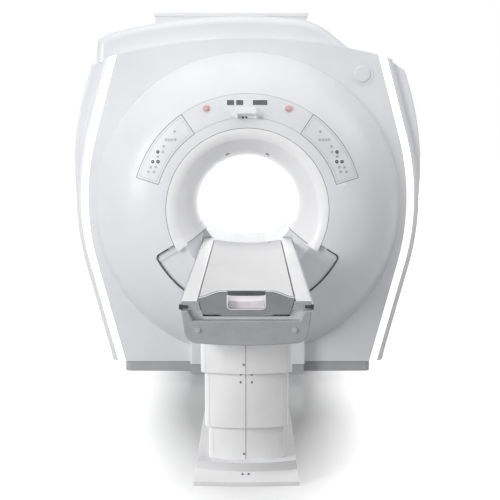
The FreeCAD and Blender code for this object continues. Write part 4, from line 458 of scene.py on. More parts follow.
NODE_FINISH: Dict[Finish, str] = {
    Finish.PAINTED_COVER: "front_dish front_panel front_corners dock_plate dock_column"
    " side_cover_right side_cover_left roof_cover turret_cover rear_cover",
    Finish.FLARE_PAINT: "front_flare rear_flare",
    Finish.PANEL_FOIL: "control_panel_right control_panel_left display_panel roundel"
    " laser_housing",
    Finish.LIGHT_DIFFUSER: "light_strips",
    Finish.GASKET_RUBBER: "dock_gasket",
    Finish.KEY_PLASTIC: "key_right_1 key_right_2 key_right_3 key_left_1 key_left_2 key_left_3",
    Finish.STOP_PLASTIC: "stop_button_right stop_button_left",
    Finish.DISPLAY_GLASS: "display_windows",
    Finish.LENS_GLASS: "laser_lens",
    Finish.PLINTH_PAINT: "kick_plate",
    Finish.VESSEL_PAINT: "magnet_vessel",
    Finish.COIL_RESIN: "gradient_coil",
    Finish.LAMINATE: "rf_body_coil",
    Finish.BORE_LINER: "bore_liner",
    Finish.MACHINED_ALUMINIUM: "cold_head belt_pulley_front belt_pulley_back belt_clamp",
    Finish.TUB_PLASTIC: "table_tub bore_bridge",
    Finish.RAIL_PLASTIC: "side_rails",
    Finish.ANODISED_RAIL: "accessory_rails",
    Finish.PLUG_PLASTIC: "rail_plugs",
    Finish.FRAME_STEEL: "table_frame base_plate lift_carriage lift_actuator",
    Finish.GLIDE_PLASTIC: "table_glides",
    Finish.CRADLE_LAMINATE: "cradle",
    Finish.FOOT_PLASTIC: "cradle_foot_plate",
    Finish.LEVER_PLASTIC: "release_lever",
    Finish.BUMPER_PLASTIC: "end_bumper",
    Finish.KNOB_PLASTIC: "bumper_knobs",
    Finish.BELT_RUBBER: "drive_belt",
    Finish.MOTOR_PAINT: "drive_motor",
    Finish.SCREW_STEEL: "lift_screw",
    Finish.PEDESTAL_PLASTIC: "upper_cover middle_cover lower_cover base_fairing",
}


def dress_nodes(frame: dict, library: MaterialLibrary) -> None:
    """Gives every CAD node its finish.

    Args:
        library: Where the materials come from.
    """
    left = set(frame["nodes"])
    for finish, names in NODE_FINISH.items():
        for name in names.split():
            node = frame["nodes"][name]
            node.data.materials.clear()
            node.data.materials.append(library.get(finish))
            left.discard(name)
    if left:
        log.warning("nodes without a finish: %s", sorted(left))


# ---------------------------------------------------------------- surfaces
@dataclass(frozen=True)
class Sheet:
    """A grid of surface points and how its sides join."""

    points: np.ndarray  # Rows by columns by three, in metres. The last column joins the first
    ring: bool = False  # The last row joins the first
    caps: bool = False  # The first and the last row are closed with a face each

    def faces(self, start: int) -> List[List[int]]:
        """Corner numbers of the faces: each point joins its two neighbours and the next.

        Args:
            start: Number of the sheet's first point in the mesh.

        Returns:
            One list of corners per face.
        """
        rows, columns = self.points.shape[:2]
        a, b = np.meshgrid(
            np.arange(rows if self.ring else rows - 1), np.arange(columns), indexing="ij"
        )
        here, after = a * columns, (a + 1) % rows * columns
        beside = (b + 1) % columns
        corners = [here + b, after + b, after + beside, here + beside]
        faces = (np.stack(corners, axis=-1).reshape(-1, 4) + start).tolist()
        if self.caps:
            row = np.arange(columns) + start
            faces += [row[::-1].tolist(), (row + (rows - 1) * columns).tolist()]
        return faces


class Outline(Enum):
    """Outlines of the small marks. A value is the count of points, or of an arrow's sides."""

    ROUND = 24
    PAD = 40
    ARROW = 3

    def radius(self, theta: np.ndarray) -> np.ndarray:
        """Radius against angle: a circle, a superellipse of power six or a triangle.

        Args:
            theta: Angles in radians.

        Returns:
            Radius for a form whose width is two.
        """
        if self is Outline.ROUND:
            return np.ones_like(theta)
        if self is Outline.PAD:
            return (np.abs(np.cos(theta)) ** 6 + np.abs(np.sin(theta)) ** 6) ** (-1 / 6)
        part = 2 * math.pi / self.value
        return math.cos(part / 2) / np.cos((theta - math.pi / 2) % part - part / 2)


@dataclass(frozen=True)
class Mark:
    """A small flat-topped form on a surface."""

    outline: Outline  # Which outline it has
    width: float  # Size across, in metres
    height: float  # Size up, in metres
    proud: float  # How far it stands out
    sink: float = 0.0008  # How far it reaches into what carries it
    turn: float = 0.0  # Turn in its plane, in degrees


@dataclass(frozen=True)
class Ring:
    """Sizes of a flat ring on a surface."""

    inner: float  # Inner radius
    outer: float  # Outer radius
    proud: float  # How far it stands out
    sink: float = 0.0008  # How far it reaches into what carries it


@dataclass(frozen=True)
class Bead:
    """Section of a low bead that is carried along a path."""

    width: float  # Its width
    proud: float  # Its height above the surface
    sink: float = 0.0008  # How far it reaches into what carries it

    def along(self, path: np.ndarray, out: np.ndarray, ring: bool = False) -> Sheet:
        """Carries the bead along a path.

        The profile is an arch: its sides rise to four tenths of its height, and its top is
        flat over six tenths of its width. At each point of the path its width lies along the
        cross product of the path's direction and the outward direction.

        Args:
            path: Points along the surface.
            out: Outward unit vectors at those points, or one for all.
            ring: The path closes on itself.

        Returns:
            The bead's closed surface.
        """
        out = np.broadcast_to(out, path.shape)
        ahead = np.roll(path, -1, axis=0) - np.roll(path, 1, axis=0)
        if not ring:
            ahead[0] = path[1] - path[0]
            ahead[-1] = path[-1] - path[-2]
        across = np.cross(ahead, out)
        across /= np.linalg.norm(across, axis=1, keepdims=True)
        side = np.array([-1.0, -1.0, -0.6, 0.6, 1.0, 1.0]) * self.width / 2
        level = np.array([-self.sink, 0.4 * self.proud, self.proud])
        level = np.concatenate([level, level[::-1]])
        points = path[:, None, :] + side[None, :, None] * across[:, None, :]
        return Sheet(points + level[None, :, None] * out[:, None, :], ring=ring, caps=not ring)


@dataclass(frozen=True)
class Seat:
    """A place on a surface with its own directions, each a unit vector."""

    at: np.ndarray  # The place
    across: np.ndarray  # Direction of a mark's width
    up: np.ndarray  # Direction of a mark's height
    out: np.ndarray  # Outward direction

    @classmethod
    def plane(cls, at: Sequence[float], across: Sequence[float], up: Sequence[float]) -> "Seat":
        """Seat in a flat face: its outward direction is the cross product across by up.

        Args:
            at: A place in the face.
            across: Direction of a mark's width.
            up: Direction of a mark's height.

        Returns:
            The seat.
        """
        return cls(np.array(at), np.array(across), np.array(up), np.cross(across, up))

    def moved(self, u: float, v: float) -> "Seat":
        """The same seat, moved u across and v up."""
        return replace(self, at=self.at + u * self.across + v * self.up)

    def line(self, bead: Bead, flat: np.ndarray, ring: bool) -> Sheet:
        """Bead in the face along points given across and up."""
        path = self.at + flat[:, :1] * self.across + flat[:, 1:] * self.up
        return bead.along(path, self.out, ring)

    def upright(self, bead: Bead, u: float, span: Pair) -> Sheet:
        """Straight bead up the face, u across, between two heights."""
        heights = np.linspace(*span, LINE_POINTS)
        return self.line(bead, np.stack([np.full_like(heights, u), heights], axis=-1), False)

    def marks(self, mark: Mark, spots: Sequence[Pair]) -> List[Sheet]:
        """The same mark at several places, given across and up."""
        return [self.moved(u, v).mark(mark) for u, v in spots]

    def mark(self, mark: Mark) -> Sheet:
        """A flat-topped form with a small chamfer and closed poles.

        The point at (level, angle) lies at the outline's radius times the level's share,
        turned in the plane, and at the level's height along the outward direction. The
        chamfer takes the last four tenths of the height and 12 percent of the reach.

        Args:
            mark: The form.

        Returns:
            Its closed surface.
        """
        count = max(Outline.ROUND.value, mark.outline.value)
        theta = np.linspace(0, 2 * math.pi, count, endpoint=False)
        reach = mark.outline.radius(theta)
        flat_x = reach * np.cos(theta) * mark.width / 2
        flat_y = reach * np.sin(theta) * mark.height / 2
        turn = math.radians(mark.turn)
        x = flat_x * math.cos(turn) - flat_y * math.sin(turn)
        y = flat_x * math.sin(turn) + flat_y * math.cos(turn)
        share = np.array([0.0, 1.0, 1.0, 0.88, 0.0])
        level = np.array([-mark.sink, -mark.sink, 0.6 * mark.proud, mark.proud, mark.proud])
        plane = x[None, :, None] * self.across + y[None, :, None] * self.up
        return Sheet(self.at + share[:, None, None] * plane + level[:, None, None] * self.out)

    def ring(self, ring: Ring) -> Sheet:
        """A flat ring: a profile turned about the outward direction.

        Its chamfered edges take three tenths of its height or width, whichever is less.

        Args:
            ring: Its sizes.

        Returns:
            Its closed surface.
        """
        edge = min(ring.proud, ring.outer - ring.inner) * 0.3
        radius = np.array([ring.inner, ring.inner, ring.inner + edge])
        radius = np.concatenate([radius, [ring.outer - edge, ring.outer, ring.outer]])
        level = np.array([-ring.sink, ring.proud - edge, ring.proud])
        level = np.concatenate([level, level[::-1]])
        theta = np.linspace(0, 2 * math.pi, RING_POINTS, endpoint=False)
        spoke = np.cos(theta)[:, None] * self.across + np.sin(theta)[:, None] * self.up
        points = radius[None, :, None] * spoke[:, None, :] + level[None, :, None] * self.out
        return Sheet(self.at + points, ring=True)


def rounded_loop(low: Pair, high: Pair, corner: float) -> np.ndarray:
    """A closed rectangle with round corners, as points in two coordinates.

    Each corner is a quarter circle of CORNER_POINTS points, and each side has SIDE_POINTS
    points between.

    Args:
        low: Lowest values of both coordinates.
        high: Highest values of both coordinates.
        corner: Corner radius.

    Returns:
        Points by two, anticlockwise.
    """
    (left, bottom), (right, top) = np.array(low) + corner, np.array(high) - corner
    centres = np.array([(right, top), (left, top), (left, bottom), (right, bottom)])
    turns = np.radians(np.array([0.0, 90.0, 180.0, 270.0]))
    theta = turns[:, None] + np.linspace(0, math.pi / 2, CORNER_POINTS)[None, :]
    arcs = centres[:, None, :] + corner * np.stack([np.cos(theta), np.sin(theta)], axis=-1)
    ends, starts = arcs[:, -1], np.roll(arcs[:, 0], -1, axis=0)
    share = np.linspace(0, 1, SIDE_POINTS + 2)[1:-1]
    sides = ends[:, None, :] + share[None, :, None] * (starts - ends)[:, None, :]
    return np.concatenate([arcs, sides], axis=1).reshape(-1, 2)


@dataclass(frozen=True)
class Dome:
    """The front dish: a sphere's cap carried round the bore, opened out by the ring."""

    axis_z: float = 1.015  # Height of the bore's axis
    ring_radius: float = 0.474  # Radius where the dish meets the flare
    ring_y: float = -0.930  # Front of that ring
    radius: float = 0.5067  # The dome's own radius

    def spot(
        self, reach: np.ndarray, angle: np.ndarray, proud: float = 0.0
    ) -> Tuple[np.ndarray, ...]:
        """Points on the dish and their directions.

        The lean's sine is the distance outside the ring over the dome's radius. The point
        is the axis plus the reach along its spoke, set back by the dome's fall.

        Args:
            reach: Distances from the axis.
            angle: Angles above the horizontal, in radians.
            proud: Distance in front of the surface.

        Returns:
            Points and normals.
        """
        lean = np.arcsin((reach - self.ring_radius) / self.radius)
        spoke = np.stack([np.cos(angle), np.zeros_like(lean), np.sin(angle)], axis=-1)
        sin, cos = np.sin(lean)[..., None], np.cos(lean)[..., None]
        normal = spoke * sin - Y_AXIS * cos
        depth = self.ring_y + self.radius * (1 - cos)
        points = spoke * reach[..., None] + Y_AXIS * depth + normal * proud
        return points + Z_AXIS * self.axis_z, normal

    def seat(self, reach: float, degrees: float, proud: float = 0.0) -> Seat:
        """A seat on the dish for a mark whose width lies level.

        Args:
            reach: Distance from the axis.
            degrees: Angle above the horizontal.
            proud: Distance in front of the surface.

        Returns:
            The seat.
        """
        point, normal = self.spot(np.array(reach), np.array(math.radians(degrees)), proud)
        across = -np.cross(Z_AXIS, normal)
        across /= np.linalg.norm(across)
        return Seat(point, across, -np.cross(normal, across), normal)

    def line(self, bead: Bead, loop: np.ndarray, ring: bool = True) -> Sheet:
        """A bead along a path on the dish.

        Args:
            bead: Its section.
            loop: Points by two: reach, and angle in radians.
            ring: The path closes on itself.

        Returns:
            Its surface.
        """
        return bead.along(*self.spot(loop[:, 0], loop[:, 1]), ring)

    def arc(self, bead: Bead, reach: float, span: Pair, count: int) -> Sheet:
        """A bead at one distance from the axis.

        Args:
            bead: Its section.
            reach: Distance from the axis.
            span: First and last angle, in degrees.
            count: How many points it has.

        Returns:
            Its surface.
        """
        angles = np.radians(np.linspace(*span, count))
        return self.line(bead, np.stack([np.full_like(angles, reach), angles], axis=-1), False)


class Workshop:
    """Makes the finished pieces and fastens each to its body."""

    def __init__(self, library: MaterialLibrary) -> None:
        """Keeps the library that the materials come from."""
        self.library = library

    def piece(
        self, name: str, sheets: Sequence[Sheet], finish: Finish, slot: str, body: str = "gantry"
    ) -> None:
        """Puts sheets into one mesh, closes and smooths it, and lets it ride.

        Args:
            name: Name of the piece.
            sheets: Its closed surfaces.
            finish: What it is made of.
            slot: A material slot's name; not used.
            body: The body that carries it.
        """
        counts = [sheet.points.shape[0] * sheet.points.shape[1] for sheet in sheets]
        starts = np.cumsum([0] + counts).tolist()
        points = np.concatenate([sheet.points.reshape(-1, 3) for sheet in sheets])
        faces = [face for sheet, start in zip(sheets, starts) for face in sheet.faces(start)]
        mesh = bpy.data.meshes.new(name)
        mesh.from_pydata(points.tolist(), [], faces)
        shell = bmesh.new()
        shell.from_mesh(mesh)
        bmesh.ops.remove_doubles(shell, verts=shell.verts, dist=MERGE_DISTANCE)
        bmesh.ops.recalc_face_normals(shell, faces=shell.faces)
        shell.to_mesh(mesh)
        shell.free()
        mesh.shade_smooth()
        mesh.set_sharp_from_angle(angle=math.radians(SHARP_DEGREES))
        mesh.materials.append(self.library.get(finish))
        piece = bpy.data.objects.new(name, mesh)
        bpy.context.collection.objects.link(piece)
        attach(piece, body)
        log.info("%s: %d faces, rides on %s", name, len(mesh.polygons), body)


# ---------------------------------------------------------------- sub-assemblies
@dataclass(frozen=True)
class ControlPanels:
    """Seals, inner bezel, touch pads and key rings of the two control panels."""

    dome: Dome = Dome()  # Shape of the dish
    inner: float = 0.5362  # Inner radius of the seals
    outer: float = 0.6728  # Outer radius of the seals
    low: float = 16.15  # Angle of the panels' lower ends, in degrees
    high: float = 55.35  # Angle of their upper ends
    # Section of the seal round a panel, and its corner radius.
    seal: Tuple[Bead, float] = (Bead(0.0032, 0.0004), 0.004)
    # Section of the line inside it, and its corner radius.
    line: Tuple[Bead, float] = (Bead(0.0016, 0.0005), 0.006)
    line_inset: float = 0.0135  # Distance from the seal to that line
    pad: Mark = Mark(Outline.PAD, 0.0168, 0.0155, 0.0006)  # A touch pad
    pad_arrow: Mark = Mark(Outline.ARROW, 0.0088, 0.0088, 0.0002, 0.0001)  # The mark printed on it
    # Distance from the axis, angle and mark's turn of each pad on the right.
    pads: Tuple[Triple, ...] = (
        (0.6190, 47.2, 0.0),
        (0.5840, 44.3, 0.0),
        (0.5975, 42.9, 90.0),
        (0.6095, 41.8, 180.0),
        (0.6232, 40.8, 270.0),
        (0.6095, 37.2, 0.0),
        (0.5940, 34.6, 180.0),
        (0.6052, 30.9, 45.0),
        (0.5881, 25.2, 90.0),
        (0.6159, 23.9, 270.0),
        (0.5856, 22.3, 0.0),
        (0.6162, 21.1, 180.0),
    )
    key_ring: Ring = Ring(0.0116, 0.0150, 0.0008)  # The pale ring round a key
    # The mark printed on a key.
    key_arrow: Mark = Mark(Outline.ARROW, 0.0085, 0.0085, 0.0002, 0.0001)
    key_height: float = 0.0025  # How far a key's cap stands out of the dish
    # Distance from the axis, angle and mark's turn of each key on the right.
    keys: Tuple[Triple, ...] = (
        (0.6185, 33.0, 0.0),
        (0.5890, 28.5, 180.0),
        (0.6160, 27.1, 90.0),
    )

    def build(self, shop: Workshop) -> None:
        """Builds both panels' details.

        Args:
            shop: Where pieces are made.
        """
        for side, name in SIDES:
            seal = self._frame(side, 0.0, self.seal)
            shop.piece("panel_seal_" + name, [seal], Finish.SEAL_LINE, "seal_rubber")
            line = self._frame(side, self.line_inset, self.line)
            shop.piece("panel_line_" + name, [line], Finish.PRINT_GREY, "panel_white")
            self._pads(shop, side, name)
            self._keys(shop, side, name)

    def _frame(self, side: int, inset: float, section: Tuple[Bead, float]) -> Sheet:
        """Bead along a panel's outline, which is a rounded rectangle in reach and arc length.

        Args:
            side: One for the right, minus one for the left.
            inset: Distance inside the seals' outline.
            section: The bead, and the outline's corner radius.

        Returns:
            Its surface.
        """
        bead, corner = section
        middle = (self.inner + self.outer) / 2
        low, high = math.radians(self.low) * middle, math.radians(self.high) * middle
        loop = rounded_loop(
            (self.inner + inset, low + inset), (self.outer - inset, high - inset), corner
        )
        angle = math.pi / 2 + side * (loop[:, 1] / middle - math.pi / 2)
        return self.dome.line(bead, np.stack([loop[:, 0], angle], axis=-1))

    @staticmethod
    def _mirrored(degrees: float, side: int) -> float:
        """An angle on the right, or its mirror image on the left."""
        return degrees if side > 0 else 180 - degrees

    def _pads(self, shop: Workshop, side: int, name: str) -> None:
        """Builds the touch pads, with a printed arrow on each.

        Args:
            shop: Where pieces are made.
            side: One for the right, minus one for the left.
            name: The side's name, which ends the pieces' names.
        """
        pads: List[Sheet] = []
        arrows: List[Sheet] = []
        for reach, degrees, turn in self.pads:
            angle = self._mirrored(degrees, side)
            pads.append(self.dome.seat(reach, angle).mark(self.pad))
            arrow = replace(self.pad_arrow, turn=turn * side)
            arrows.append(self.dome.seat(reach, angle, self.pad.proud).mark(arrow))
        shop.piece("touch_pads_" + name, pads, Finish.TOUCH_PAD, "panel_white")
        shop.piece("pad_arrows_" + name, arrows, Finish.PRINT_DARK, "key_plastic")

    def _keys(self, shop: Workshop, side: int, name: str) -> None:
        """Builds the pale ring round each key and the arrow on its cap.

        Args:
            shop: Where pieces are made.
            side: One for the right, minus one for the left.
            name: The side's name, which ends the pieces' names.
        """
        rings: List[Sheet] = []
        for number, (reach, degrees, turn) in enumerate(self.keys, 1):
            angle = self._mirrored(degrees, side)
            rings.append(self.dome.seat(reach, angle).ring(self.key_ring))
            arrow = replace(self.key_arrow, turn=turn * side)
            mark = self.dome.seat(reach, angle, self.key_height).mark(arrow)
            key = "key_%s_%d" % (name, number)
            shop.piece(key + "_arrow", [mark], Finish.PRINT_GREY, "key_plastic", key)
        # The key rings glow a little: painted light from the trim's finish.
        shop.piece("key_rings_" + name, rings, Finish.BRIGHT_TRIM, "panel_white")


@dataclass(frozen=True)
class DisplayBand:
    """Seals of the display panel, window bezels and rings of the stop buttons."""

    dome: Dome = Dome()  # Shape of the dish
    span: Pair = (55.7, 124.3)  # First and last angle of the two long seals, in degrees
    reaches: Pair = (0.5362, 0.6728)  # Their distances from the axis
    seal: Bead = Bead(0.0020, 0.0003)  # Their section
    seal_points: int = 120  # Points along each
    # Left and right edge of each window.
    windows: Tuple[Pair, ...] = ((-0.118, -0.076), (-0.0645, -0.0235), (0.031, 0.115))
    window_z: float = 1.636  # Middle height of the windows
    window_half: float = 0.0145  # Half their height
    bezel: Bead = Bead(0.0024, 0.0010)  # Section of the frame round a window
    margin: float = 0.0014  # How far outside the window the frame runs
    corner: float = 0.0015  # Corner radius of the frame
    stop_reach: float = 0.632  # Distance of the stop buttons from the axis
    stop_angle: float = 68.0  # Their angle above the horizontal
    stop_ring: Ring = Ring(0.0174, 0.0228, 0.0008)  # The faded ring round a stop button
    collar_height: float = 0.0020  # How far the button's collar stands out of the dish

    def build(self, shop: Workshop) -> None:
        """Builds the band's details.

        Args:
            shop: Where pieces are made.
        """
        seals = [
            self.dome.arc(self.seal, reach, self.span, self.seal_points) for reach in self.reaches
        ]
        shop.piece("display_seals", seals, Finish.PRINT_GREY, "seal_rubber")
        bezels = [self._bezel(left, right) for left, right in self.windows]
        # The bezels glow a little: painted light from the trim's finish.
        shop.piece("window_bezels", bezels, Finish.BRIGHT_TRIM, "panel_white")
        rings = [
            self.dome.seat(self.stop_reach, angle, self.collar_height).ring(self.stop_ring)
            for angle in (self.stop_angle, 180 - self.stop_angle)
        ]
        shop.piece("stop_rings", rings, Finish.FADED_RED, "stop_red")

    def _bezel(self, left: float, right: float) -> Sheet:
        """Thin raised frame round one window.

        Args:
            left: The window's left edge.
            right: Its right edge.

        Returns:
            Its surface.
        """
        reach = self.window_half + self.margin
        low = (left - self.margin, self.window_z - reach)
        high = (right + self.margin, self.window_z + reach)
        loop = rounded_loop(low, high, self.corner)
        x, z = loop[:, 0], loop[:, 1] - self.dome.axis_z
        return self.dome.line(self.bezel, np.stack([np.hypot(x, z), np.arctan2(z, x)], axis=-1))


@dataclass(frozen=True)
class BoreMouth:
    """Seals of the flare, its light windows, the sills beside it and the lens rims."""

    dome: Dome = Dome()  # Shape of the dish
    # First and last angle of the seal between dish and flare, in degrees.
    ring_span: Pair = (-27.0, 207.0)
    ring_gap: float = 0.0006  # How far outside the flare the seal lies
    ring_seal: Bead = Bead(0.0026, 0.0002)  # Section of that seal
    ring_points: int = 260  # Points along it
    throat_radius: float = 0.300  # Radius of the flare's inner end
    throat_y: float = -0.430  # Its place along the bore
    bell_radius: float = 1.0635  # Radius of the flare's section
    window: Bead = Bead(0.024, 0.0012)  # Section of a light window
    window_turn: float = 20.5  # Angle of the light windows from the top, in degrees
    window_y: Pair = (-0.725, -0.665)  # Where the light windows start and end
    edge: Bead = Bead(0.0040, 0.0010)  # Section of the dark seal at the flare's lower edges, which also paints the shadow under them
    edge_turn: float = 119.4  # Angle of the flare's lower edges from the top, in degrees
    edge_y: Pair = (-0.900, -0.450)  # Where their seals start and end
    edge_lift: float = 0.0049  # How far the flare's ends stand above the funnel
    sill: Pair = (0.3005, 0.345)  # Inner and outer radius of the blocks above the rails
    sill_y: Pair = (-0.475, -0.432)  # Their front and back
    sill_low: float = 0.8100  # Their underside
    sill_top: float = 30.0  # How far below the horizontal they end, in degrees
    lens_x: Pair = (-0.025, -0.0065)  # Places of the alignment lenses
    lens_ring: Ring = Ring(0.0053, 0.0072, 0.0012, 0.0015)  # The rim of a lens
    lens_turn: float = 20.0  # How far up the scoop the lenses look, in degrees
    scoop: Pair = (-0.968, 1.541)  # Y and Z of the scoop's axis
    scoop_radius: float = 0.030  # Radius of the scoop

    def build(self, shop: Workshop) -> None:
        """Builds the mouth's details.

        Args:
            shop: Where pieces are made.
        """
        reach = self.dome.ring_radius + self.ring_gap
        seal = self.dome.arc(self.ring_seal, reach, self.ring_span, self.ring_points)
        shop.piece("flare_seal", [seal], Finish.SEAL_LINE, "seal_rubber")
        windows, edges, sills = [], [], []
        for side, _ in SIDES:
            windows.append(self._strip(self.window, side * self.window_turn, self.window_y))
            turn = side * self.edge_turn
            edges.append(self._strip(self.edge, turn, self.edge_y, self.edge_lift))
            sills.append(self._sill(side))
        shop.piece("side_light_windows", windows, Finish.BLACK_WINDOW, "lens_dark")
        # These seals also stand in for the shadow under the flare's raised ends.
        shop.piece("flare_edge_seals_and_shadow", edges, Finish.SEAL_LINE, "seal_rubber")
        shop.piece("rail_sills", sills, Finish.FLARE_PAINT, "cover_white")
        turn = math.radians(self.lens_turn)
        into = Y_AXIS * math.cos(turn) + Z_AXIS * math.sin(turn)
        middle = np.array([0.0, *self.scoop]) + into * self.scoop_radius
        rims = [
            Seat(middle + X_AXIS * x, X_AXIS, np.cross(-into, X_AXIS), -into).ring(self.lens_ring)
            for x in self.lens_x
        ]
        shop.piece("lens_rims", rims, Finish.SEAL_LINE, "lens_dark")

    def _strip(self, bead: Bead, turn: float, span: Pair, lift: float = 0.0) -> Sheet:
        """Strip that follows the flare's funnel at an angle from the top.

        The funnel's radius is the throat's plus the fall of a circle, the bell, away from
        the throat's plane. The outward direction is square to the bell and faces the axis.

        Args:
            bead: Its section.
            turn: Angle from the top, in degrees.
            span: Where it starts and ends along the bore.
            lift: Distance above the funnel.

        Returns:
            Its surface.
        """
        y = np.linspace(*span, SIDE_POINTS)[:, None]
        run = y - self.throat_y
        rise = np.sqrt(self.bell_radius**2 - run**2)
        radius = self.throat_radius + self.bell_radius - rise
        angle = math.radians(90 - turn)
        spoke = X_AXIS * math.cos(angle) + Z_AXIS * math.sin(angle)
        path = radius * spoke + y * Y_AXIS + Z_AXIS * self.dome.axis_z
        out = (run * Y_AXIS - rise * spoke) / self.bell_radius
        return bead.along(path + lift * out, out)

    def _sill(self, side: int) -> Sheet:
        """White block that fills the flare's corner above a rail.

        Rows climb from just above the rail to the top angle. Columns go round the section:
        inner front, outer front, outer back and inner back. A point's X follows from its
        distance to the axis and its height.

        Args:
            side: One for the right, minus one for the left.

        Returns:
            Its surface.
        """
        (inner, outer), (front, back) = self.sill, self.sill_y
        reach, y = np.array([inner, outer, outer, inner]), np.array([front, front, back, back])
        top = self.dome.axis_z - reach * math.sin(math.radians(self.sill_top))
        z = self.sill_low + np.linspace(0, 1, LINE_POINTS)[:, None] * (top - self.sill_low)
        x = np.sqrt(reach**2 - (z - self.dome.axis_z) ** 2)
        return Sheet(np.stack([side * x, np.broadcast_to(y, z.shape), z], axis=-1), caps=True)


@dataclass(frozen=True)
class FootPlate:
    """Painted highlights along its edges, a dark pad of painted shade above the slot, and the
    paddle's cap, on the cradle's foot plate.
    """

    plate_y: float = -2.894  # Front face of the foot plate
    outer: Pair = (0.2005, 0.8225)  # Half its width at its shoulders, and the height there
    crest: Pair = (0.100, 0.8495)  # Half the width of its raised middle, and the height there
    slot_half: float = 0.0795  # Half the width of the grip's slot
    slot_z: Pair = (0.7735, 0.8345)  # Lower and upper edge of the slot
    slot_corner: float = 0.017  # Corner radius of the slot
    crest_highlight: Bead = Bead(0.0030, 0.0012)  # Section of the painted highlight along the wavy top
    crest_points: int = 60  # Points along half of it
    clearance: float = 0.001  # Distance from that highlight's end to the slot
    slot_highlight: Bead = Bead(0.0028, 0.0010)  # Section of the painted highlight round the slot
    pad: Mark = Mark(Outline.PAD, 0.156, 0.0200, 0.0012)  # Painted shade: dark pad where the bar above the slot is in shadow
    shade_drop: float = 0.0090  # Distance of its middle below the crest
    paddle_y: float = -2.869  # Front face of the lever's paddle
    paddle_half: float = 0.0735  # Half the width of the paddle's cap
    paddle_z: Pair = (0.8085, 0.8255)  # Lower and upper edge of the cap
    paddle_sag: float = 0.0060  # How far the lower edge bows down
    paddle_points: int = 33  # Points along it
    # How far the cap reaches before and behind the paddle's face.
    paddle_wall: Pair = (0.0012, 0.0004)

    def build(self, shop: Workshop) -> None:
        """Builds the foot plate's painted highlights, its painted shade and the paddle's cap.

        Args:
            shop: Where pieces are made.
        """
        face = Seat.plane((0.0, self.plate_y, 0.0), X_AXIS, Z_AXIS)
        cradle = "patient_cradle"
        # The rims are painted highlights: bright glowing beads along the plate's edges.
        rims = [self._crest_highlight(face, side) for side, _ in SIDES]
        shop.piece("foot_plate_painted_highlight", rims, Finish.BRIGHT_TRIM, "cradle_white", cradle)
        shop.piece("grip_painted_highlight", [self._slot_highlight(face)], Finish.BRIGHT_TRIM, "cradle_white", cradle)
        # A dark sheet painted where the bar above the slot is in shade.
        pad = face.moved(0.0, self.crest[1] - self.shade_drop).mark(self.pad)
        shop.piece("grip_painted_shade", [pad], Finish.GASKET_RUBBER, "lever_tint", cradle)
        shop.piece("paddle_cap", [self._paddle()], Finish.PADDLE_WHITE, "lever_tint", "lever")

    def _paddle(self) -> Sheet:
        """Pale cap on the paddle, with a painted glow: its lower edge sags as a parabola of the
        width.

        Rows run across the paddle and columns round its section: back top, front top,
        front low and back low.

        Returns:
            Its surface.
        """
        x = np.linspace(-self.paddle_half, self.paddle_half, self.paddle_points)
        low = self.paddle_z[0] - self.paddle_sag * (1 - (x / self.paddle_half) ** 2)
        top = np.full_like(x, self.paddle_z[1])
        front, back = self.paddle_y - self.paddle_wall[0], self.paddle_y + self.paddle_wall[1]
        y = np.tile([back, front, front, back], (len(x), 1))
        z = np.stack([top, top, low, low], axis=-1)
        return Sheet(np.stack([np.repeat(x[:, None], 4, 1), y, z], axis=-1), caps=True)

    def _crest_highlight(self, face: Seat, side: int) -> Sheet:
        """Painted highlight along the wavy top of one side: a bright bead that steps smoothly from
        shoulder to crest.

        Args:
            face: Front face of the foot plate.
            side: One for the right, minus one for the left.

        Returns:
            Its surface.
        """
        (outer_x, outer_z), (crest_x, crest_z) = self.outer, self.crest
        x = np.linspace(outer_x, self.slot_half + self.clearance, self.crest_points)
        share = np.clip((outer_x - x) / (outer_x - crest_x), 0, 1)
        z = outer_z + (crest_z - outer_z) * share**2 * (3 - 2 * share)
        return face.line(self.crest_highlight, np.stack([side * x, z], axis=-1), False)

    def _slot_highlight(self, face: Seat) -> Sheet:
        """Painted highlight down one side of the slot, round its corners and up the other side.

        The loop's points below the slot's upper edge are put in order by their angle
        about a point that lies the clearance above that edge.

        Args:
            face: Front face of the foot plate.

        Returns:
            Its surface.
        """
        low, high = self.slot_z
        above = high + 2 * self.slot_corner
        loop = rounded_loop((-self.slot_half, low), (self.slot_half, above), self.slot_corner)
        kept = loop[loop[:, 1] <= high]
        order = np.argsort(np.arctan2(kept[:, 0], high + self.clearance - kept[:, 1]))
        return face.line(self.slot_highlight, kept[order], False)


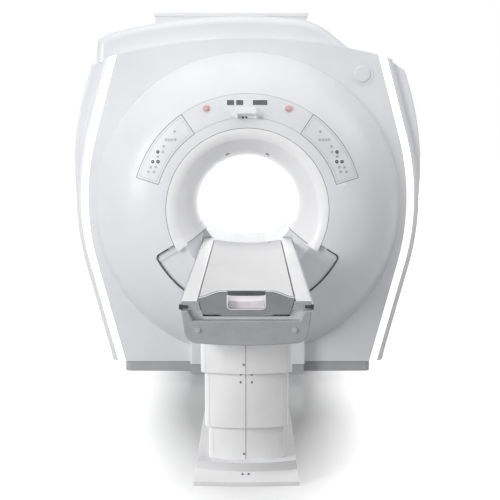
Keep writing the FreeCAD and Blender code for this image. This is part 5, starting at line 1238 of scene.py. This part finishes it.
@dataclass(frozen=True)
class EndBumper:
    """Dark seal between the end bumper and the tub."""

    seal: Bead = Bead(0.0032, 0.0030)  # Its section
    seal_y: float = -2.8783  # Where it lies
    start_z: float = 0.768  # Height of its ends
    side_top: Pair = (0.2700, 0.771)  # X and Z of the upper end of the bumper's side
    side_low: Pair = (0.2583, 0.692)  # X and Z of its lower end
    corner_at: Pair = (0.2003, 0.692)  # X and Z of the lower corner's centre
    corner_radius: float = 0.058  # Its radius
    bottom_z: float = 0.634  # Height of the bottom at the corners
    sag: float = 0.008  # How far the bottom bows down
    # Points along a side, a corner and half the bottom.
    counts: Tuple[int, int, int] = (14, 16, 24)

    def build(self, shop: Workshop) -> None:
        """Builds the seal along the outline that the bumper and the tub share.

        Each side is a straight line, each lower corner a quarter circle, and the bottom a
        parabola that sags. The bead stands out sideways in the bumper's plane.

        Args:
            shop: Where pieces are made.
        """
        corner_x, corner_z = self.corner_at
        on_side, on_corner, on_bottom = self.counts
        side_z = np.linspace(self.start_z, self.side_low[1], on_side)
        ends = np.array([self.side_low, self.side_top])
        side_x = np.interp(side_z, ends[:, 1], ends[:, 0])
        turn = np.linspace(0, math.pi / 2, on_corner)[1:]
        flat_x = np.linspace(corner_x, 0, on_bottom)[1:]
        flat_z = self.bottom_z - self.sag * (1 - (flat_x / corner_x) ** 2)
        x = np.concatenate([side_x, corner_x + self.corner_radius * np.cos(turn), flat_x])
        z = np.concatenate([side_z, corner_z - self.corner_radius * np.sin(turn), flat_z])
        x, z = np.concatenate([x, -x[-2::-1]]), np.concatenate([z, z[-2::-1]])
        path = np.stack([x, np.full_like(x, self.seal_y), z], axis=-1)
        out = np.cross(np.gradient(path, axis=0), Y_AXIS)
        out /= np.linalg.norm(out, axis=1, keepdims=True) * np.sign(out[0, 0])
        seal = self.seal.along(path, out)
        shop.piece("end_edge_seal", [seal], Finish.SEAL_LINE, "seal_rubber", "table_lift")


@dataclass(frozen=True)
class CradleTop:
    """The dark mark near the cradle's head."""

    half: float = 0.199  # Half the cradle's width
    edge_z: float = 0.812  # Height of its long edges
    hollow: float = 0.022  # How far its top is hollowed
    mark: Mark = Mark(Outline.PAD, 0.020, 0.034, 0.0005)  # The mark
    mark_at: Pair = (0.132, -0.700)  # Its X and Y

    def build(self, shop: Workshop) -> None:
        """Builds the mark on the cradle's top, which is a parabola across its width.

        Args:
            shop: Where pieces are made.
        """
        x, y = self.mark_at
        z = self.edge_z - self.hollow + self.hollow * (x / self.half) ** 2
        slope = 2 * self.hollow * x / self.half**2
        across = (X_AXIS + slope * Z_AXIS) / math.hypot(1.0, slope)
        mark = Seat.plane((x, y, z), across, Y_AXIS).mark(self.mark)
        shop.piece("cradle_mark", [mark], Finish.PRINT_DARK, "cradle_white", "patient_cradle")


@dataclass(frozen=True)
class Tier:
    """One of the pedestal's telescoping covers."""

    node: str  # The CAD node
    body: str  # The body that it belongs to
    span: Pair  # Lowest and highest height of its joint
    screws: Tuple[Pair, ...]  # X and Z of each screw


@dataclass(frozen=True)
class Pedestal:
    """Screws and the upright joint of the table's telescoping covers."""

    joint: Bead = Bead(0.0018, 0.0003)  # Section of the joint
    joint_x: float = -0.0035  # Place of the joint
    bow: float = 0.040  # How far a fascia bows forward
    half: float = 0.195  # Half a fascia's width
    screw: Mark = Mark(Outline.ROUND, 0.010, 0.010, 0.0010)  # A cover's screw head
    tiers: Tuple[Tier, ...] = (
        Tier("upper_cover", "table_lift", (0.485, 0.610), ((-0.0115, 0.5215),)),
        Tier(
            "middle_cover", "sleeve", (0.245, 0.478),
            ((-0.0245, 0.4756), (0.0226, 0.4756), (-0.0246, 0.4425), (0.0226, 0.4425)),
        ),
        Tier("lower_cover", "gantry", (0.100, 0.238), ((-0.0109, 0.1242),)),
    )
    foot_screw: Mark = Mark(Outline.ROUND, 0.011, 0.011, 0.0012)  # One of the base fairing
    foot_x: Pair = (-0.0167, 0.0090)  # Places of those screws across its front
    foot_at: Pair = (-2.8155, 0.0433)  # Their Y and Z
    foot_lean: float = 19.2  # How far the fairing leans back there, in degrees

    def build(self, shop: Workshop) -> None:
        """Builds the joints and screws.

        Args:
            shop: Where pieces are made.
        """
        for tier in self.tiers:
            node, body = tier.node, tier.body
            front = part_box(node)[0].y
            face = Seat.plane((0.0, front, 0.0), X_AXIS, Z_AXIS)
            joint = face.upright(self.joint, self.joint_x, tier.span)
            shop.piece(node + "_joint", [joint], Finish.SEAL_LINE, "seal_rubber", body)
            places = [(x, front + self.bow * (x / self.half) ** 2, z) for x, z in tier.screws]
            heads = [Seat.plane(at, X_AXIS, Z_AXIS).mark(self.screw) for at in places]
            shop.piece(node + "_screws", heads, Finish.SCREW_HEAD, "screw_steel", body)
        lean = math.radians(self.foot_lean)
        slope = Y_AXIS * math.sin(lean) + Z_AXIS * math.cos(lean)
        foot = Seat.plane((0.0, *self.foot_at), X_AXIS, slope)
        heads = foot.marks(self.foot_screw, [(x, 0.0) for x in self.foot_x])
        shop.piece("fairing_screws", heads, Finish.SCREW_HEAD, "screw_steel")


@dataclass(frozen=True)
class Enclosure:
    """Joints, air vents and flush screws on the covers' back, flanks and turret."""

    line: Bead = Bead(0.0030, 0.0004)  # Section of a joint line
    screw: Mark = Mark(Outline.ROUND, 0.014, 0.014, 0.0006)  # A flush screw head
    screw_inset: Pair = (0.028, 0.032)  # Its distance from a rear panel's and a hatch's sides
    axis_z: float = Dome.axis_z  # Height of the bore's axis
    back_y: float = 0.840  # Plane of the rear cover
    # Lowest and highest height of each part of the rear cover's joint.
    joint_spans: Tuple[Pair, ...] = ((1.500, 2.100), (0.105, 0.530))
    # Corners of a rear service panel, as X and Z.
    panel: Tuple[Pair, Pair] = ((0.110, 0.170), (0.620, 0.500))
    panel_corner: float = 0.030  # Its corner radius
    back_vent: Mark = Mark(Outline.PAD, 0.012, 0.055, 0.0006)  # A vent slot in the rear cover
    vent_x: Pair = (0.120, 0.420)  # First and last place in a row of such slots
    vent_count: int = 9  # How many a row has
    vent_z: Pair = (1.800, 1.880)  # Heights of the rows
    screw_ring: float = 0.570  # Radius of the ring of screws round the rear flare
    ring_screws: int = 8  # How many it has, the first half a step from the horizontal
    # X, Y and Z of a point in the middle of a flank's straight part.
    flank_at: Triple = (0.9226, 0.090, 0.450)
    flank_slope: float = 0.2235  # How much a flank leans out per metre of height
    hatch: Pair = (0.420, 0.225)  # Half the length and half the height of a flank's hatch
    hatch_corner: float = 0.035  # Its corner radius
    hatch_vent: Mark = Mark(Outline.PAD, 0.013, 0.110, 0.0006)  # A vent slot in the hatch
    # Farthest slot from the middle, and the row's height from the middle.
    hatch_vents: Pair = (0.330, -0.090)
    hatch_count: int = 16  # How many slots the row has
    turret_at: Pair = (0.602, 2.160)  # Y and Z of the turret's row of vents
    turret_vent: Mark = Mark(Outline.PAD, 0.050, 0.008, 0.0006)  # A vent slot in the turret's back
    turret_span: Pair = (-0.240, 0.460)  # First and last place in that row
    turret_count: int = 10  # How many slots it has
    # Outline of the rear corner's filler, as X and Z.
    corner: Tuple[Pair, ...] = (
        (0.862, 1.870),
        (0.930, 1.870),
        (0.9335, 1.850),
        (0.940, 1.830),
        (0.880, 1.830),
    )
    corner_y: Pair = (0.7805, 0.7845)  # Its front and back

    def build(self, shop: Workshop) -> None:
        """Builds the covers' details.

        Args:
            shop: Where pieces are made.
        """
        self._back(shop)
        for side, name in SIDES:
            self._flank(shop, side, name)
        turret = Seat.plane((0.0, *self.turret_at), -X_AXIS, Z_AXIS)
        row = np.linspace(*self.turret_span, self.turret_count)
        vents = turret.marks(self.turret_vent, [(u, 0.0) for u in row])
        shop.piece("turret_vents", vents, Finish.SEAL_LINE, "seal_rubber")
        filler = [self._corner()]
        shop.piece("rear_corner_filler", filler, Finish.PAINTED_COVER, "cover_white")

    def _corner(self) -> Sheet:
        """Filler between the right side cover's upper end and the rear cover's flange.

        Rows go back through its thickness and columns follow its five-sided outline.

        Returns:
            Its surface.
        """
        outline, y = np.array(self.corner), np.array(self.corner_y)
        x, z = (np.tile(outline[:, axis], (2, 1)) for axis in (0, 1))
        return Sheet(np.stack([x, np.broadcast_to(y[:, None], x.shape), z], axis=-1), caps=True)

    def _back(self, shop: Workshop) -> None:
        """Builds the rear cover's upright joint, two service panels, vents and screws.

        Args:
            shop: Where pieces are made.
        """
        back = Seat.plane((0.0, self.back_y, 0.0), -X_AXIS, Z_AXIS)
        (left, low), (right, high) = self.panel
        joints = [back.upright(self.line, 0.0, span) for span in self.joint_spans]
        for pair in (self.panel, ((-right, low), (-left, high))):
            joints.append(back.line(self.line, rounded_loop(*pair, self.panel_corner), True))
        shop.piece("back_joints", joints, Finish.SEAL_LINE, "seal_rubber")
        row = np.linspace(*self.vent_x, self.vent_count)
        spots = [(side * u, v) for side, _ in SIDES for v in self.vent_z for u in row]
        vents = back.marks(self.back_vent, spots)
        shop.piece("back_vents", vents, Finish.SEAL_LINE, "seal_rubber")
        turns = (np.arange(self.ring_screws) + 0.5) * 2 * math.pi / self.ring_screws
        round_flare = self.screw_ring * np.stack([np.cos(turns), np.sin(turns)], axis=-1)
        spots = [(u, self.axis_z + v) for u, v in round_flare]
        inset = self.screw_inset[0]
        columns, rows = (left + inset, right - inset), (low + inset, high - inset)
        spots += [(side * u, v) for side, _ in SIDES for u in columns for v in rows]
        heads = back.marks(self.screw, spots)
        shop.piece("back_screws", heads, Finish.SCREW_HEAD, "screw_steel")

    def _flank(self, shop: Workshop, side: int, name: str) -> None:
        """Builds a hatch with vents and four screws in a flank's straight part.

        Args:
            shop: Where pieces are made.
            side: One for the right, minus one for the left.
            name: The side's name, which ends the pieces' names.
        """
        up = (side * self.flank_slope * X_AXIS + Z_AXIS) / math.hypot(1.0, self.flank_slope)
        flank = Seat.plane(np.array(self.flank_at) * (side, 1, 1), side * Y_AXIS, up)
        long, tall = self.hatch
        loop = rounded_loop((-long, -tall), (long, tall), self.hatch_corner)
        hatch = flank.line(self.line, loop, True)
        shop.piece("flank_hatch_" + name, [hatch], Finish.SEAL_LINE, "seal_rubber")
        reach, height = self.hatch_vents
        row = np.linspace(-reach, reach, self.hatch_count)
        vents = flank.marks(self.hatch_vent, [(u, height) for u in row])
        shop.piece("flank_vents_" + name, vents, Finish.SEAL_LINE, "seal_rubber")
        u, v = long - self.screw_inset[1], tall - self.screw_inset[1]
        heads = flank.marks(self.screw, [(-u, -v), (-u, v), (u, -v), (u, v)])
        shop.piece("flank_screws_" + name, heads, Finish.SCREW_HEAD, "screw_steel")


# ---------------------------------------------------------------- studio
@dataclass(frozen=True)
class Softbox:
    """A rectangular area light."""

    name: str  # Object name
    at: Triple  # Where it stands, in metres
    towards: Triple  # Point that it faces
    size: Pair  # Width and height in metres
    power: float  # Power in watts

    def build(self) -> None:
        """Adds the lamp."""
        data = bpy.data.lights.new(self.name, "AREA")
        data.shape = "RECTANGLE"
        data.size, data.size_y = self.size
        data.energy = self.power
        lamp = bpy.data.objects.new(self.name, data)
        bpy.context.collection.objects.link(lamp)
        lamp.location = self.at
        aim = Vector(self.towards) - Vector(self.at)
        lamp.rotation_euler = aim.to_track_quat("-Z", "Y").to_euler()


@dataclass(frozen=True)
class Studio:
    """Floor, lights, background and camera."""

    softboxes: Tuple[Softbox, ...] = (
        Softbox("overhead", (0.2, -2.1, 5.2), (0.2, -1.6, 0.8), (5.0, 5.0), 84.0),
        Softbox("key_left", (-5.5, -5.9, 2.9), (0.0, -1.4, 1.0), (3.0, 3.0), 282.0),
        Softbox("high_right", (4.6, -2.3, 4.6), (0.2, -0.7, 1.2), (2.6, 2.6), 60.0),
        Softbox("front_fill", (-2.2, -7.6, 1.0), (0.0, -2.0, 0.4), (2.0, 1.4), 24.0),
        Softbox("bore_glow", (0.0, 2.6, 1.15), (0.0, -0.6, 1.0), (1.6, 1.6), 14.0),
    )
    soft_level: float = 0.30  # Strength of the world for rays that only light
    floor_half: float = 30.0  # Half the floor's side
    floor_drop: float = 0.001  # How far the floor lies under the object
    floor_seen: str = "CACACA"  # The floor's colour for rays that show it
    # Its colour for rays that only light, darker so that less comes back.
    floor_lighting: str = "ABABAB"
    shadow_at: Triple = (0.0, 0.42, 0.0)  # Offset of the painted shadow's oval from the isocentre
    shadow_scale: Triple = (1.3, 0.35, 1.0)  # Cells per metre of that oval in X and Y
    shadow_span: Pair = (0.42, 1.0)  # Reach in the oval where painted shade turns to white
    floor_gloss: float = 0.16  # The floor's roughness
    camera_at: Triple = (0.015, -7.59, 1.593)  # The camera's place
    camera_down: float = 6.94  # How far it looks down, in degrees
    camera_lens: float = 82.8  # Its focal length, in millimetres
    camera_sensor: float = 36.0  # Width of its sensor, in millimetres
    camera_reach: float = 100.0  # How far it sees

    def build(self) -> None:
        """Builds everything round the object."""
        self._floor()
        for box in self.softboxes:
            box.build()
        self._world()
        self._camera()

    def _floor(self) -> None:
        """Pale, slightly glossy floor with a painted shadow round the object, turning to white away
        from it.
        """
        half, level = self.floor_half, -self.floor_drop
        corners = [(x * half, y * half, level) for x, y in ((-1, -1), (1, -1), (1, 1), (-1, 1))]
        mesh = bpy.data.meshes.new("floor")
        mesh.from_pydata(corners, [], [(0, 1, 2, 3)])
        floor = bpy.data.objects.new("floor", mesh)
        bpy.context.collection.objects.link(floor)
        material, tree, coords = MaterialLibrary.blank("pale_studio_floor")
        place = add_node(
            tree, "Mapping", Vector=coords, Location=self.shadow_at, Scale=self.shadow_scale
        )
        reach = add_node(tree, "VectorMath", place.outputs["Vector"], operation="LENGTH")
        near, far = self.shadow_span
        away = add_node(tree, "MapRange", Value=reach.outputs["Value"], From_Min=near, From_Max=far)
        seen = seen_by_eye(tree)
        # The floor glows only outside the oval, so round the object it keeps a painted shade.
        glow = add_node(tree, "Math", away.outputs["Result"], seen, operation="MULTIPLY")
        pale = add_node(
            tree, "Mix", data_type="RGBA", Factor=seen,
            A=hex_to_linear(self.floor_lighting), B=hex_to_linear(self.floor_seen),
        )
        shader = add_node(
            tree, "BsdfPrincipled", Base_Color=pale.outputs["Result"], Roughness=self.floor_gloss,
            Emission_Color=WHITE, Emission_Strength=glow.outputs["Value"],
        )
        add_node(tree, "OutputMaterial", Surface=shader.outputs["BSDF"])
        mesh.materials.append(material)

    def _world(self) -> None:
        """White background for the camera and for gloss, softer light for the rest."""
        world = bpy.data.worlds.new("studio_white")
        world.use_nodes = True
        tree = world.node_tree
        tree.nodes.clear()
        soft = add_node(tree, "Background", Color=WHITE, Strength=self.soft_level)
        white = add_node(tree, "Background", Color=WHITE, Strength=1.0)
        blend = add_node(
            tree, "MixShader", seen_by_eye(tree), soft.outputs["Background"],
            white.outputs["Background"],
        )
        add_node(tree, "OutputWorld", Surface=blend.outputs["Shader"])
        bpy.context.scene.world = world

    def _camera(self) -> None:
        """Camera at the photograph's angle: level, slightly down, along +Y."""
        data = bpy.data.cameras.new("camera")
        data.sensor_width = self.camera_sensor
        data.lens = self.camera_lens
        data.clip_end = self.camera_reach
        camera = bpy.data.objects.new("camera", data)
        bpy.context.collection.objects.link(camera)
        camera.location = self.camera_at
        camera.rotation_euler = (math.radians(90 - self.camera_down), 0.0, 0.0)
        bpy.context.scene.camera = camera


def main() -> None:
    """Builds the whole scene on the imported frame."""
    logging.basicConfig(level=logging.INFO, format="%(name)s: %(message)s")
    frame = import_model()
    bpy.context.scene.view_settings.view_transform = "Standard"
    library = MaterialLibrary()
    dress_nodes(frame, library)
    shop = Workshop(library)
    front = (ControlPanels(), DisplayBand(), BoreMouth())
    table = (FootPlate(), EndBumper(), CradleTop(), Pedestal())
    for assembly in front + table + (Enclosure(),):
        assembly.build(shop)
    Studio().build()


if __name__ == "__main__":
    main()
